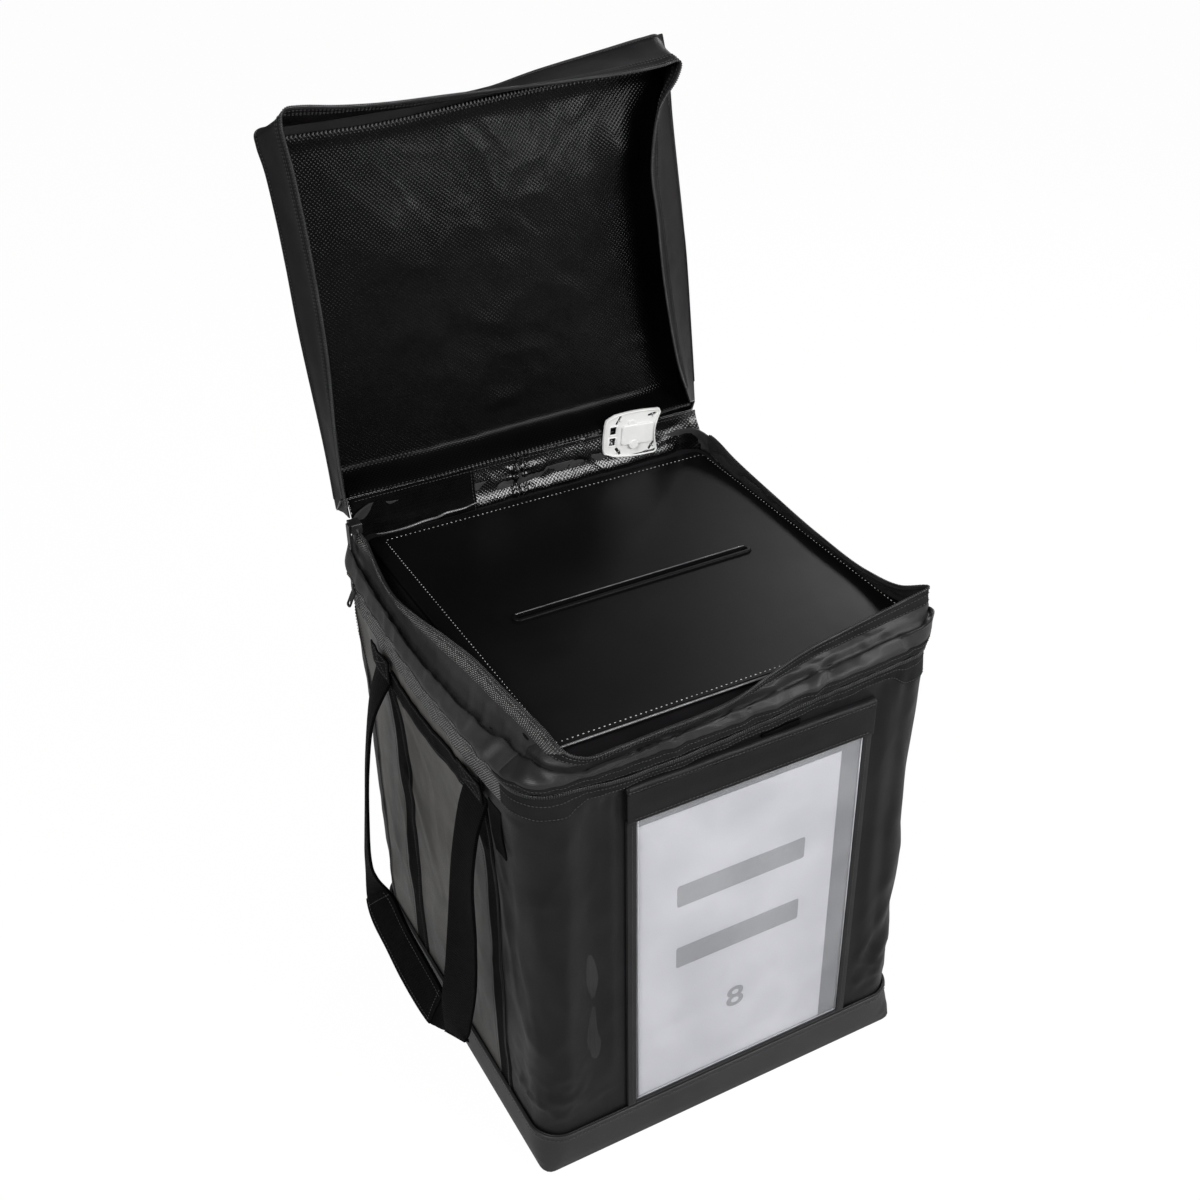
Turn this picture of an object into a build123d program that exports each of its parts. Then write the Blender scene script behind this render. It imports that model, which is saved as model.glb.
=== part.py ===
import os
from build123d import *

os.makedirs("parts", exist_ok=True)

# Body, millimetres. X runs along the front, Y towards the back, Z up from the ground.
body_width = 350.0
body_depth = 350.0
body_corner = 24.0
zip_height = 412.0
fabric = 1.6
board = 3.2
fit_gap = 0.3

# Base tray
band_height = 40.0
tray_wall = 2.4
tray_floor = 2.0
base_board_thickness = 3.0

# Wall panels: the front one wraps round its corners as far as the side straps
front_wrap = 66.0
rear_wrap = 28.0
board_drop = 6.0
board_edge_gap = 3.0

# Zips
tape_thickness = 1.2
tape_drop = 14.0
coil_height = 3.0
coil_overhang = 1.2
slider_length = 12.0
slider_height = 9.0
slider_thickness = 4.5
slider_inset = 26.0
pull_width = 7.0
pull_length = 24.0
pull_thickness = 1.6

# Front pocket, its window, card and flap
pocket_left = -99.0
pocket_right = 119.0
pocket_lift = 2.0
pocket_edge = 9.0
pocket_foot = 4.0
spacer = 1.1
window_thickness = 0.8
binding_thickness = 1.0
card_left = -89.0
card_width = 182.0
card_headroom = 9.7
card_thickness = 0.5
flap_drop = 32.0
flap_height = 27.0
flap_side = 3.0
flap_thickness = 1.6
flap_seam_height = 5.0
tab_width = 34.0
tab_height = 7.0
tab_left = 16.0
tab_gap = 4.0

# Side straps and carry handles
webbing = 1.6
rear_strap_y = 73.0
rear_strap_width = 26.0
front_strap_y = -100.0
front_strap_width = 24.0
anchor_drop = 48.0
anchor_height = 24.0
anchor_width = 38.0
top_strap_drop = 60.0
top_strap_height = 25.0
tail_width = 22.0
tail_height = 47.0
tail_drop = 87.0
handle_thickness = 3.0
handle_width = 38.0
handle_drop = 34.0
handle_lift = 42.0
handle_standoff = 36.0
handle_slope = 62.0
handle_shoulder = 40.0
grip_ply = 1.6
ply_gap = 0.1
grip_length = 118.0

# Deck: the soft collar, the slot board and its cover
collar_gap = 0.5
collar_height = 34.0
deck_lift = 10.5
flange_thickness = 1.4
deck_side = 9.0
slot_board_thickness = 3.2
slot_cover_thickness = 1.6
slot_x = 4.0
slot_y = -8.0
slot_length = 212.0
slot_width = 5.0
rim_width = 2.8
rim_height = 2.4
deck_zip_height = 11.0
top_tape_height = 10.0

# Rear strip with the seal housing
hinge_rise = 20.5
strip_side = 6.0
strip_patch_share = 0.31
hem_height = 8.0
tongue_rise = 14.0
seal_x = 102.0
seal_width = 57.0
seal_height = 44.0
seal_drop = 26.0
seal_thickness = 2.4
seal_edge = 1.4
seal_corner = 9.0
seal_waist = 4.0
seal_window_width = 7.0
seal_window_height = 9.0
seal_slot_length = 9.0
seal_slot_width = 2.6
seal_slot_inset = 6.0
channel_width = 17.0
channel_rise = 2.2
boss_radius = 4.2
boss_rise = 1.4
cover_width = 46.0
cover_height = 26.0
cover_drop = 37.0
cover_thickness = 5.0
staple_wire = 1.2
staple_length = 6.5

# Lid, laid out flat in its own plane and leaned back on its hinge
lid_depth = 338.0
lid_lean = 4.0
lid_rim = 28.0
lid_corner = 24.0
lid_tape = 10.0
lid_tape_inset = 42.0
lining_thickness = 0.8
lid_board_thickness = 3.0
lid_board_inset = 7.0
lining_inset = 2.5

overrun = 20.0

half_width = body_width / 2
half_depth = body_depth / 2
front_face = -half_depth
side_seam_front = -half_depth + front_wrap
side_seam_rear = half_depth - rear_wrap
floor_top = tray_floor + base_board_thickness

# Heights above the ground, all worked out from the lower zip and the base band
pocket_bottom = band_height + pocket_lift
flap_top = zip_height - flap_drop
pocket_top = flap_top - flap_height
card_bottom = pocket_bottom + pocket_foot + fit_gap
card_height = pocket_top - card_headroom - card_bottom
anchor_bottom = zip_height - anchor_drop
top_strap_bottom = zip_height - top_strap_drop
tail_bottom = zip_height - tail_drop
handle_top = zip_height - handle_drop
handle_bottom = band_height + handle_lift
collar_bottom = zip_height + coil_height + collar_gap
collar_top = collar_bottom + collar_height
deck_height = collar_bottom + deck_lift
hinge_height = collar_top + hinge_rise
seal_bottom = hinge_height - seal_drop
cover_bottom = hinge_height - cover_drop


def finish(part, name):
    part.label = name
    export_step(part, "parts/" + name + ".step")


def ring_sketch(plane, outset, thickness, corner=body_corner):
    """A band that follows the body's rounded outline, its outer edge moved out by outset."""
    with BuildSketch(plane) as sketch:
        RectangleRounded(body_width + 2 * outset, body_depth + 2 * outset, corner + outset)
        inner = outset - thickness
        RectangleRounded(body_width + 2 * inner, body_depth + 2 * inner, corner + inner, mode=Mode.SUBTRACT)
    return sketch.sketch


def band(bottom, height, outset, thickness, keep=None):
    """The ring above, raised, and cut down to the Y stretch named in keep."""
    with BuildPart() as part:
        with BuildSketch(Plane.XY.offset(bottom)):
            add(ring_sketch(Plane.XY, outset, thickness))
            if keep is not None:
                low, high = keep
                span = body_width + 2 * overrun
                with Locations((0, (low + high) / 2)):
                    Rectangle(span, high - low, mode=Mode.INTERSECT)
        extrude(amount=height)
    return part.part


def side_of(part, side):
    """The half of a part that lies on the side named by +1 or -1."""
    with BuildPart() as half:
        add(part)
        split(bisect_by=Plane.YZ, keep=Keep.TOP if side > 0 else Keep.BOTTOM)
    return half.part


def plate(x_low, x_high, y_low, y_high, z_low, z_high):
    """A flat piece given by its six limits."""
    with BuildPart() as part:
        with Locations(((x_low + x_high) / 2, (y_low + y_high) / 2, (z_low + z_high) / 2)):
            Box(x_high - x_low, y_high - y_low, z_high - z_low)
    return part.part


# Base tray and board
with BuildPart() as base_tray:
    tray_outset = fit_gap + tray_wall
    with BuildSketch():
        RectangleRounded(body_width + 2 * tray_outset, body_depth + 2 * tray_outset, body_corner + tray_outset)
    extrude(amount=band_height)
    with BuildSketch(Plane.XY.offset(tray_floor)):
        RectangleRounded(body_width + 2 * fit_gap, body_depth + 2 * fit_gap, body_corner + fit_gap)
    extrude(amount=band_height, mode=Mode.SUBTRACT)
finish(base_tray.part, "base_tray")

with BuildPart() as base_board:
    inset = fabric + fit_gap
    with BuildSketch(Plane.XY.offset(tray_floor)):
        RectangleRounded(body_width - 2 * inset, body_depth - 2 * inset, body_corner - inset)
    extrude(amount=base_board_thickness)
finish(base_board.part, "base_board")

# Fabric walls
wall_height = zip_height - tray_floor
finish(band(tray_floor, wall_height, 0, fabric, (front_face, side_seam_front)), "front_panel")
finish(band(tray_floor, wall_height, 0, fabric, (side_seam_rear, half_depth)), "rear_panel")
side_walls = band(tray_floor, wall_height, 0, fabric, (side_seam_front, side_seam_rear))
for side, word in ((-1, "left"), (1, "right")):
    finish(side_of(side_walls, side), word + "_panel")

# Stiffener boards, standing on the base board against the walls
board_top = zip_height - board_drop
board_half = half_width - body_corner - board_edge_gap
board_half_depth = half_depth - body_corner - board_edge_gap
for side, word in ((-1, "front"), (1, "rear")):
    outer = side * (half_depth - fabric)
    inner = side * (half_depth - fabric - board)
    low, high = min(outer, inner), max(outer, inner)
    finish(plate(-board_half, board_half, low, high, floor_top, board_top), word + "_board")
for side, word in ((-1, "left"), (1, "right")):
    outer = side * (half_width - fabric)
    inner = side * (half_width - fabric - board)
    low, high = min(outer, inner), max(outer, inner)
    finish(plate(low, high, -board_half_depth, board_half_depth, floor_top, board_top), word + "_board")

# Lower zip: tape on the body, the toothed coil on its edge, slider and pull at the rear left
zip_run = (front_face - tape_thickness, side_seam_rear)
finish(band(zip_height - tape_drop, tape_drop, tape_thickness, tape_thickness, zip_run), "body_zip_tape")
coil_thickness = fabric + coil_overhang
finish(band(zip_height, coil_height, coil_overhang, coil_thickness, zip_run), "body_zip_coil")

slider_rear = side_seam_rear - slider_inset
slider_face = half_width + tape_thickness + fit_gap
coil_middle = zip_height + coil_height / 2
with BuildPart() as body_zip_slider:
    with BuildSketch(Plane.YZ.offset(-slider_face)):
        with Locations((slider_rear + slider_length / 2, coil_middle)):
            SlotOverall(slider_length, slider_height)
    extrude(amount=-slider_thickness)
finish(body_zip_slider.part, "body_zip_slider")


def pull_tab(outer_x, centre_y, top_z):
    """A zip pull hanging flat against the outside, with a hole at its lower end."""
    with BuildPart() as pull:
        with BuildSketch(Plane.YZ.offset(-outer_x)):
            with Locations((centre_y, top_z - pull_length / 2)):
                RectangleRounded(pull_width, pull_length, pull_width / 3)
            with Locations((centre_y, top_z - pull_length + pull_width / 2)):
                Circle(pull_width / 4, mode=Mode.SUBTRACT)
        extrude(amount=-pull_thickness)
    return pull.part


pull_centre = slider_rear + slider_length / 2
body_pull_face = slider_face + slider_thickness + fit_gap
finish(pull_tab(body_pull_face, pull_centre, coil_middle + pull_width / 2), "body_zip_pull")

# Front pocket
spacer_face = front_face - spacer
window_face = spacer_face - window_thickness


def pocket_frame(face, thickness):
    """A strip along the foot and both sides of the pocket."""
    with BuildPart() as part:
        with BuildSketch(Plane.XZ.offset(-face)):
            width = pocket_right - pocket_left
            height = pocket_top - pocket_bottom
            with Locations((pocket_left + width / 2, pocket_bottom + height / 2)):
                Rectangle(width, height)
            with Locations((pocket_left + width / 2, pocket_bottom + pocket_foot + height / 2)):
                Rectangle(width - 2 * pocket_edge, height, mode=Mode.SUBTRACT)
        extrude(amount=thickness)
    return part.part


finish(pocket_frame(front_face, spacer), "pocket_spacer")
window = plate(pocket_left, pocket_right, window_face, spacer_face, pocket_bottom, pocket_top)
finish(window, "window")
finish(pocket_frame(window_face, binding_thickness), "window_binding")

card_back = front_face - fit_gap
card = plate(card_left, card_left + card_width, card_back - card_thickness, card_back,
             card_bottom, card_bottom + card_height)
finish(card, "card")

flap_back = window_face - binding_thickness - fit_gap
flap = plate(pocket_left + flap_side, pocket_right - flap_side, flap_back - flap_thickness, flap_back,
             flap_top - flap_height, flap_top)
finish(flap, "pocket_flap")
seam_bottom = flap_top + fit_gap
flap_seam = plate(pocket_left + flap_side, pocket_right - flap_side, flap_back - flap_thickness, front_face,
                  seam_bottom, seam_bottom + flap_seam_height)
finish(flap_seam, "flap_seam")
tab_bottom = seam_bottom + flap_seam_height + tab_gap
pocket_tab = plate(tab_left, tab_left + tab_width, front_face - fabric, front_face, tab_bottom,
                   tab_bottom + tab_height)
finish(pocket_tab, "pocket_tab")

# Webbing sewn to each side, and the carry handle that hangs from it
strap_face = half_width + webbing
anchor_face = half_width + webbing + fit_gap
handle_inner = anchor_face + fit_gap
handle_plane = handle_inner + handle_thickness / 2


def handle_ribbon(extra, thickness):
    """The handle's bend away from the wall, seen along Y, as a strap of this thickness."""
    drop = handle_top - handle_bottom
    lean_shares = ((0.0, 0.0), (0.5, 0.06), (0.8, 0.24), (0.93, 0.55), (1.0, 1.0))
    points = [(handle_plane + extra + out * handle_standoff, handle_top - down * drop)
              for out, down in lean_shares]
    with BuildPart() as part:
        with BuildSketch(Plane.XZ.offset(-half_depth)):
            with BuildLine():
                Polyline(*points)
            trace(line_width=thickness)
        extrude(amount=body_depth)
    return part.part


def handle_outline():
    """The handle's U, seen from the side: two legs and a sloping run between them."""
    half = handle_width / 2
    rear_out, rear_in = rear_strap_y + half, rear_strap_y - half
    front_out, front_in = front_strap_y - half, front_strap_y + half
    low, run_top = handle_bottom, handle_bottom + handle_width
    top = handle_top + handle_width
    outer = [(rear_out, top), (rear_out, low + handle_slope), (rear_in - handle_shoulder / 2, low),
             (front_out + handle_shoulder / 4, low), (front_out, low + handle_shoulder / 4), (front_out, top)]
    inner = [(front_in, top), (front_in, run_top), (rear_in - handle_shoulder / 2, run_top),
             (rear_in, run_top + handle_slope / 2), (rear_in, top)]
    with BuildPart() as part:
        with BuildSketch(Plane.YZ):
            with BuildLine():
                Polyline(*outer, *inner, close=True)
            make_face()
        extrude(amount=body_width)
    return part.part


def carry_handle(side):
    with BuildPart() as part:
        add(handle_ribbon(0, handle_thickness))
        add(handle_outline(), mode=Mode.INTERSECT)
        if side < 0:
            mirror(about=Plane.YZ, mode=Mode.REPLACE)
    return part.part


def grip(side):
    """The second ply sewn on the outside of the handle's lower run."""
    middle = (rear_strap_y + front_strap_y) / 2 - handle_width / 4
    with BuildPart() as part:
        add(handle_ribbon(handle_thickness / 2 + ply_gap + grip_ply / 2, grip_ply))
        add(handle_outline(), mode=Mode.INTERSECT)
        with Locations((half_width, middle, handle_bottom + handle_width / 2)):
            Box(body_width, grip_length, handle_width, mode=Mode.INTERSECT)
        if side < 0:
            mirror(about=Plane.YZ, mode=Mode.REPLACE)
    return part.part


def side_plate(side, thickness, y_low, y_high, z_low, z_high):
    """A strap lying flat on a side wall."""
    near, far = side * half_width, side * (half_width + thickness)
    return plate(min(near, far), max(near, far), y_low, y_high, z_low, z_high)


for side, word in ((-1, "left"), (1, "right")):
    for place, width, name in ((rear_strap_y, rear_strap_width, "rear_strap"),
                               (front_strap_y, front_strap_width, "front_strap")):
        strap = side_plate(side, webbing, place - width / 2, place + width / 2,
                           band_height + fit_gap, anchor_bottom)
        finish(strap, word + "_" + name)
    top_strap = side_plate(side, webbing, front_strap_y + anchor_width / 2, rear_strap_y - anchor_width / 2,
                           top_strap_bottom, top_strap_bottom + top_strap_height)
    finish(top_strap, word + "_top_strap")
    tail_rear = front_strap_y - anchor_width / 2 - fit_gap
    tail = side_plate(side, webbing, tail_rear - tail_width, tail_rear, tail_bottom, tail_bottom + tail_height)
    finish(tail, word + "_strap_tail")
    with BuildPart() as anchors:
        with Locations(*[(side * (half_width + anchor_face) / 2, place, anchor_bottom + anchor_height / 2)
                         for place in (rear_strap_y, front_strap_y)]):
            Box(anchor_face - half_width, anchor_width, anchor_height)
    finish(anchors.part, word + "_handle_anchors")
    finish(carry_handle(side), word + "_handle")
    finish(grip(side), word + "_grip")

# Deck: collar walls, flange, slot board, cover and the slot's raised rim
straight_front = front_face + body_corner
straight_rear = half_depth - body_corner
finish(band(collar_bottom, collar_height, 0, fabric, (front_face, straight_front)), "collar_front")
finish(band(collar_bottom, collar_height, 0, fabric, (straight_rear, half_depth)), "collar_rear")
side_collar = band(collar_bottom, collar_height, 0, fabric, (straight_front, straight_rear))
for side, word in ((-1, "left"), (1, "right")):
    finish(side_of(side_collar, side), "collar_" + word)
finish(band(collar_bottom, deck_zip_height, tape_thickness, tape_thickness, zip_run), "deck_zip_tape")
top_run = (front_face, straight_rear)
finish(band(collar_top, top_tape_height, 0, tape_thickness, top_run), "collar_zip_tape")

flange_top = deck_height + flange_thickness
board_top_z = flange_top + slot_board_thickness
cover_top_z = board_top_z + slot_cover_thickness
deck_inset = fabric + deck_side
with BuildPart() as deck_flange:
    with BuildSketch(Plane.XY.offset(deck_height)):
        RectangleRounded(body_width - 2 * fabric, body_depth - 2 * fabric, body_corner - fabric)
        opening_inset = deck_inset + deck_side
        RectangleRounded(body_width - 2 * opening_inset, body_depth - 2 * opening_inset, body_corner,
                         mode=Mode.SUBTRACT)
    extrude(amount=flange_thickness)
finish(deck_flange.part, "deck_flange")


def slot_plane(height):
    return Plane((slot_x, slot_y, height))


def slot_sheet(bottom, thickness, slot):
    """A rectangular deck sheet with the ballot slot through it."""
    with BuildPart() as part:
        with BuildSketch(Plane.XY.offset(bottom)):
            RectangleRounded(body_width - 2 * deck_inset, body_depth - 2 * deck_inset, deck_side)
            with Locations((slot_x, slot_y)):
                SlotOverall(slot_length + 2 * slot, slot_width + 2 * slot, mode=Mode.SUBTRACT)
        extrude(amount=thickness)
    return part.part


finish(slot_sheet(flange_top, slot_board_thickness, rim_width / 2), "slot_board")
finish(slot_sheet(board_top_z, slot_cover_thickness, rim_width / 2), "slot_cover")
with BuildPart() as slot_rim:
    with BuildSketch(slot_plane(cover_top_z)):
        SlotOverall(slot_length + 2 * rim_width, slot_width + 2 * rim_width)
    extrude(amount=rim_height)
    fillet(slot_rim.faces().sort_by(Axis.Z)[-1].edges(), rim_height / 2)
    with BuildSketch(slot_plane(flange_top)):
        SlotOverall(slot_length + rim_width, slot_width + rim_width)
    extrude(amount=slot_board_thickness + slot_cover_thickness)
    with BuildSketch(slot_plane(flange_top)):
        SlotOverall(slot_length, slot_width)
    extrude(amount=slot_board_thickness + slot_cover_thickness + rim_height, mode=Mode.SUBTRACT)
finish(slot_rim.part, "slot_rim")

# Rear strip, standing inside the rear collar, with a tongue behind the seal housing
strip_back = half_depth - fabric
strip_front = strip_back - fabric
strip_half = half_width - body_corner - strip_side
strip_top = hinge_height - fit_gap
strip_rise = strip_top - flange_top
seal_top = seal_bottom + seal_height
with BuildPart() as rear_strip:
    with BuildSketch(Plane.XZ.offset(-strip_back)):
        with Locations((0, flange_top + strip_rise / 2)):
            Rectangle(2 * strip_half, strip_rise)
        with Locations((seal_x, hinge_height)):
            RectangleRounded(seal_width + 2 * seal_edge, 2 * tongue_rise, seal_corner)
    extrude(amount=fabric)
    with BuildSketch(Plane.XZ.offset(-half_depth + fit_gap)):
        with Locations((0, strip_top - hem_height / 2)):
            Rectangle(2 * strip_half, hem_height)
    extrude(amount=fabric)
finish(rear_strip.part, "rear_strip")
patch_right = -strip_half + 2 * strip_half * strip_patch_share
patch = plate(-strip_half, patch_right, strip_front - fabric, strip_front, flange_top, strip_top)
finish(patch, "strip_patch")

reach_x = seal_width / 2 - seal_slot_inset - seal_waist
reach_z = seal_height / 2 - seal_slot_inset
with BuildPart() as seal_plate:
    seal_left, seal_right = seal_x - seal_width / 2, seal_x + seal_width / 2
    seal_middle = seal_bottom + seal_height / 2
    with BuildSketch(Plane.XZ.offset(-strip_front)):
        with BuildLine():
            narrow = seal_height / 2 - seal_waist
            Polyline((seal_left, seal_middle - narrow), (seal_left + seal_corner, seal_bottom),
                     (seal_right, seal_bottom))
            ThreePointArc((seal_right, seal_bottom), (seal_right - seal_waist, seal_middle),
                          (seal_right, seal_top))
            Polyline((seal_right, seal_top), (seal_left + seal_corner, seal_top),
                     (seal_left, seal_middle + narrow), (seal_left, seal_middle - narrow))
        make_face()
        fillet(vertices(), seal_waist)
        with Locations((seal_left + seal_corner, seal_middle)):
            with GridLocations(0, seal_window_height + seal_edge, 1, 2):
                Rectangle(seal_window_width, seal_window_height, mode=Mode.SUBTRACT)
        with Locations((seal_x, seal_middle)):
            with GridLocations(2 * reach_x, 2 * reach_z, 2, 2):
                SlotOverall(seal_slot_length, seal_slot_width, mode=Mode.SUBTRACT)
    extrude(amount=seal_thickness)
    channel_half = channel_width / 2
    with BuildSketch(Plane.XZ.offset(-strip_front + seal_thickness)):
        with Locations((seal_x + seal_corner / 2, seal_middle)):
            Rectangle(seal_width / 2, channel_width)
    extrude(amount=channel_rise)
    with BuildSketch(Plane.XZ.offset(-strip_front + seal_thickness + channel_rise)):
        with Locations((seal_x, seal_middle)):
            Circle(boss_radius)
    extrude(amount=boss_rise)
finish(seal_plate.part, "seal_plate")

cover_middle = cover_bottom + cover_height / 2
with BuildPart() as seal_cover:
    with BuildSketch(Plane.XZ.offset(-half_depth - cover_thickness)):
        with Locations((seal_x, cover_middle)):
            RectangleRounded(cover_width, cover_height, seal_corner)
    extrude(amount=cover_thickness)
    fillet(seal_cover.faces().sort_by(Axis.Y)[-1].edges(), seal_edge)
finish(seal_cover.part, "seal_cover")

staple_face = strip_front - seal_thickness
with BuildPart() as seal_staples:
    places = [(seal_x + across * reach_x, staple_face - staple_wire / 2, seal_middle + up * reach_z)
              for across in (-1, 1) for up in (-1, 1)]
    with Locations(*places):
        Box(staple_wire, staple_wire, staple_length)
finish(seal_staples.part, "seal_staples")

# Lid, built in its own plane: u runs up from the hinge, depth runs back from the hinge plane
lid_plane = Plane(origin=(0, half_depth, hinge_height), x_dir=(1, 0, 0),
                  z_dir=Vector(0, -1, 0).rotate(Axis.X, -lid_lean))


def lid_outline(inset, corner, depth=lid_depth):
    """The lid's flat outline with its front corners rounded, drawn in from the edge by inset."""
    width = body_width - 2 * inset
    low, high = inset, depth - inset
    with BuildSketch() as sketch:
        with Locations((0, (low + high) / 2)):
            Rectangle(width, high - low)
        fillet(sketch.vertices().group_by(Axis.Y)[-1], corner)
    return sketch.sketch


def lid_sheet(back, thickness, inset):
    """A flat layer of the lid; back is how far it lies behind the hinge plane."""
    with BuildPart() as part:
        with BuildSketch(lid_plane.offset(-back)):
            add(lid_outline(inset, lid_corner - inset))
        extrude(amount=-thickness)
    return part.part


def lid_wall(low, height, thickness, keep):
    """A stretch of the lid's rim, cut to the part of the lid named in keep."""
    with BuildPart() as part:
        with BuildSketch(lid_plane.offset(low)):
            add(lid_outline(0, lid_corner))
            add(lid_outline(thickness, lid_corner - thickness), mode=Mode.SUBTRACT)
            x_low, x_high, u_low, u_high = keep
            with Locations(((x_low + x_high) / 2, (u_low + u_high) / 2)):
                Rectangle(x_high - x_low, u_high - u_low, mode=Mode.INTERSECT)
        extrude(amount=height)
    return part.part


lid_front_start = lid_depth - lid_corner
far_x = half_width + overrun
finish(lid_sheet(lid_rim, fabric, 0), "lid_panel")
finish(lid_wall(-lid_rim, lid_rim, fabric, (-far_x, 0, fabric, lid_front_start)), "lid_rim_left")
finish(lid_wall(-lid_rim, lid_rim, fabric, (0, far_x, fabric, lid_front_start)), "lid_rim_right")
finish(lid_wall(-lid_rim, lid_rim, fabric, (-far_x, far_x, lid_front_start, lid_depth)), "lid_rim_front")
finish(lid_wall(-lid_rim, lid_rim, fabric, (-far_x, far_x, 0, fabric)), "lid_rim_rear")
finish(lid_wall(0, lid_tape, tape_thickness, (-far_x, far_x, lid_tape_inset, lid_depth)), "lid_zip_tape")
board_back = lid_rim - lid_board_thickness
finish(lid_sheet(board_back, lid_board_thickness, lid_board_inset), "lid_board")
finish(lid_sheet(board_back - lining_thickness, lining_thickness, lining_inset), "lid_lining")

# Upper zip slider on the collar's tape, with its pull
top_edge = collar_top + top_tape_height
top_slider_rear = straight_rear - slider_length - fit_gap
with BuildPart() as lid_zip_slider:
    groove = tape_thickness + 2 * fit_gap
    with Locations((-half_width + tape_thickness / 2, top_slider_rear + slider_length / 2, top_edge)):
        Box(slider_height, slider_length, slider_height)
        Box(groove, slider_length, slider_height, align=(Align.CENTER, Align.CENTER, Align.MAX),
            mode=Mode.SUBTRACT)
    fillet(lid_zip_slider.edges().filter_by(Axis.X).group_by(Axis.Z)[-1], slider_thickness / 3)
finish(lid_zip_slider.part, "lid_zip_slider")
top_pull_face = half_width - tape_thickness / 2 + slider_height / 2 + fit_gap
finish(pull_tab(top_pull_face, top_slider_rear + slider_length / 2, top_edge + pull_width / 2), "lid_zip_pull")
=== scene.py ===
import math
import bpy
import numpy as np
from mathutils import Matrix, Vector, noise


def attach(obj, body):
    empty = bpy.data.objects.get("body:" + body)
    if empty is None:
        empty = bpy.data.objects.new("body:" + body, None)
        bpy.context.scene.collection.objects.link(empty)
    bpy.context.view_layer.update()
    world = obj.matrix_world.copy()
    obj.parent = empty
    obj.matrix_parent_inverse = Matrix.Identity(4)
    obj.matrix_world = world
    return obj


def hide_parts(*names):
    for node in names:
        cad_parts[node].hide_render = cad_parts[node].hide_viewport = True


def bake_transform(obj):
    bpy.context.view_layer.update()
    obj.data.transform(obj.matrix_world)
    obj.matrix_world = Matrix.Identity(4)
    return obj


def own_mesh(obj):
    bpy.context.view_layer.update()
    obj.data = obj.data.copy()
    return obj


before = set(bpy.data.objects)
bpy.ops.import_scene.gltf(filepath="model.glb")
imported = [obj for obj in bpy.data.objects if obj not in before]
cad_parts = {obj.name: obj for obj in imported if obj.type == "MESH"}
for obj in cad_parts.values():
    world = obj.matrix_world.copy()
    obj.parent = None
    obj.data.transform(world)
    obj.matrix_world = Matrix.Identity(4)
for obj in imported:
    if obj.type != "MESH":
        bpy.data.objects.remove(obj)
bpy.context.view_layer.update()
scene = bpy.context.scene
scene.view_settings.view_transform = "Standard"
mm = 0.001                     # every table below is in millimetres

# the camera was fitted to the box's straight edges; angles are in degrees
camera = dict(place=(-507.76, -914.67, 1095.69), yaw=27.862, pitch=33.112, roll=-0.905, lens=46.171, sensor=36, far=50)


def addObject(name, data):
    obj = bpy.data.objects.new(name, data)
    scene.collection.objects.link(obj)
    return obj


def makeCamera(c):
    yaw, pitch, roll = (math.radians(c[k]) for k in ("yaw", "pitch", "roll"))
    ahead = Vector((math.sin(yaw) * math.cos(pitch), math.cos(yaw) * math.cos(pitch), -math.sin(pitch)))
    right = Vector((math.cos(yaw), -math.sin(yaw), 0))
    up = right.cross(ahead)
    across = right * math.cos(roll) + up * math.sin(roll)
    upright = up * math.cos(roll) - right * math.sin(roll)
    data = bpy.data.cameras.new("camera")
    data.lens, data.sensor_width, data.clip_end = c["lens"], c["sensor"], c["far"]
    obj = addObject("camera", data)
    obj.matrix_world = Matrix((across, upright, -ahead)).transposed().to_4x4()
    obj.matrix_world.translation = Vector(c["place"]) * mm
    scene.camera = obj


lamps = [  # name, place, aim, size, watts
    ("keyLamp", (-1700, -900, 1700), (0, 0, 300), (900, 1300), 40),
    ("frontLamp", (900, -1900, 1500), (0, 0, 250), (1000, 900), 38),
    ("backLamp", (1450, 1240, 1580), (150, -90, 430), (500, 400), 11.5),
    ("rightLamp", (1900, -500, 700), (0, 0, 250), (500, 1200), 10),
    ("lowLamp", (1150, -2300, 680), (0, 150, 600), (260, 240), 6),
]


def makeLamps():
    for name, place, aim, size, watts in lamps:
        data = bpy.data.lights.new(name, "AREA")
        data.shape, data.size, data.size_y, data.energy = "RECTANGLE", size[0] * mm, size[1] * mm, watts
        obj = addObject(name, data)
        obj.location = Vector(place) * mm
        obj.rotation_euler = (Vector(aim) - Vector(place)).to_track_quat("-Z", "Y").to_euler()


# nodes and finishes
def addNode(tree, kind, settings=None, **inputs):
    n = tree.nodes.new(kind)
    for key, value in (settings or {}).items():
        setattr(n, key, value)
    for key, value in inputs.items():
        socket = n.inputs[int(key[1:])] if key[0] == "i" and key[1:].isdigit() else n.inputs[key]
        if isinstance(value, bpy.types.NodeSocket):
            tree.links.new(value, socket)
        else:
            socket.default_value = value
    return n


def maths(tree, operation, a, b):
    return addNode(tree, "ShaderNodeMath", {"operation": operation}, i0=a, i1=b).outputs[0]


def plusShare(tree, a, b, share):
    return maths(tree, "ADD", a, maths(tree, "MULTIPLY", b, share))


def space(tree, kind="Object"):
    return addNode(tree, "ShaderNodeTexCoord").outputs[kind]


def cloudy(tree, scale, detail=3.0):
    return addNode(tree, "ShaderNodeTexNoise", None, Vector=space(tree), Scale=scale, Detail=detail,
                   Roughness=0.55).outputs[0]


bandGap = 0.31416              # m between the bands of a wave texture at a scale of 1


def ribs(tree, vector, pitch, direction="X"):
    return addNode(tree, "ShaderNodeTexWave", {"bands_direction": direction}, Vector=vector,
                   Scale=bandGap / (pitch * mm)).outputs["Fac"]


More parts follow.
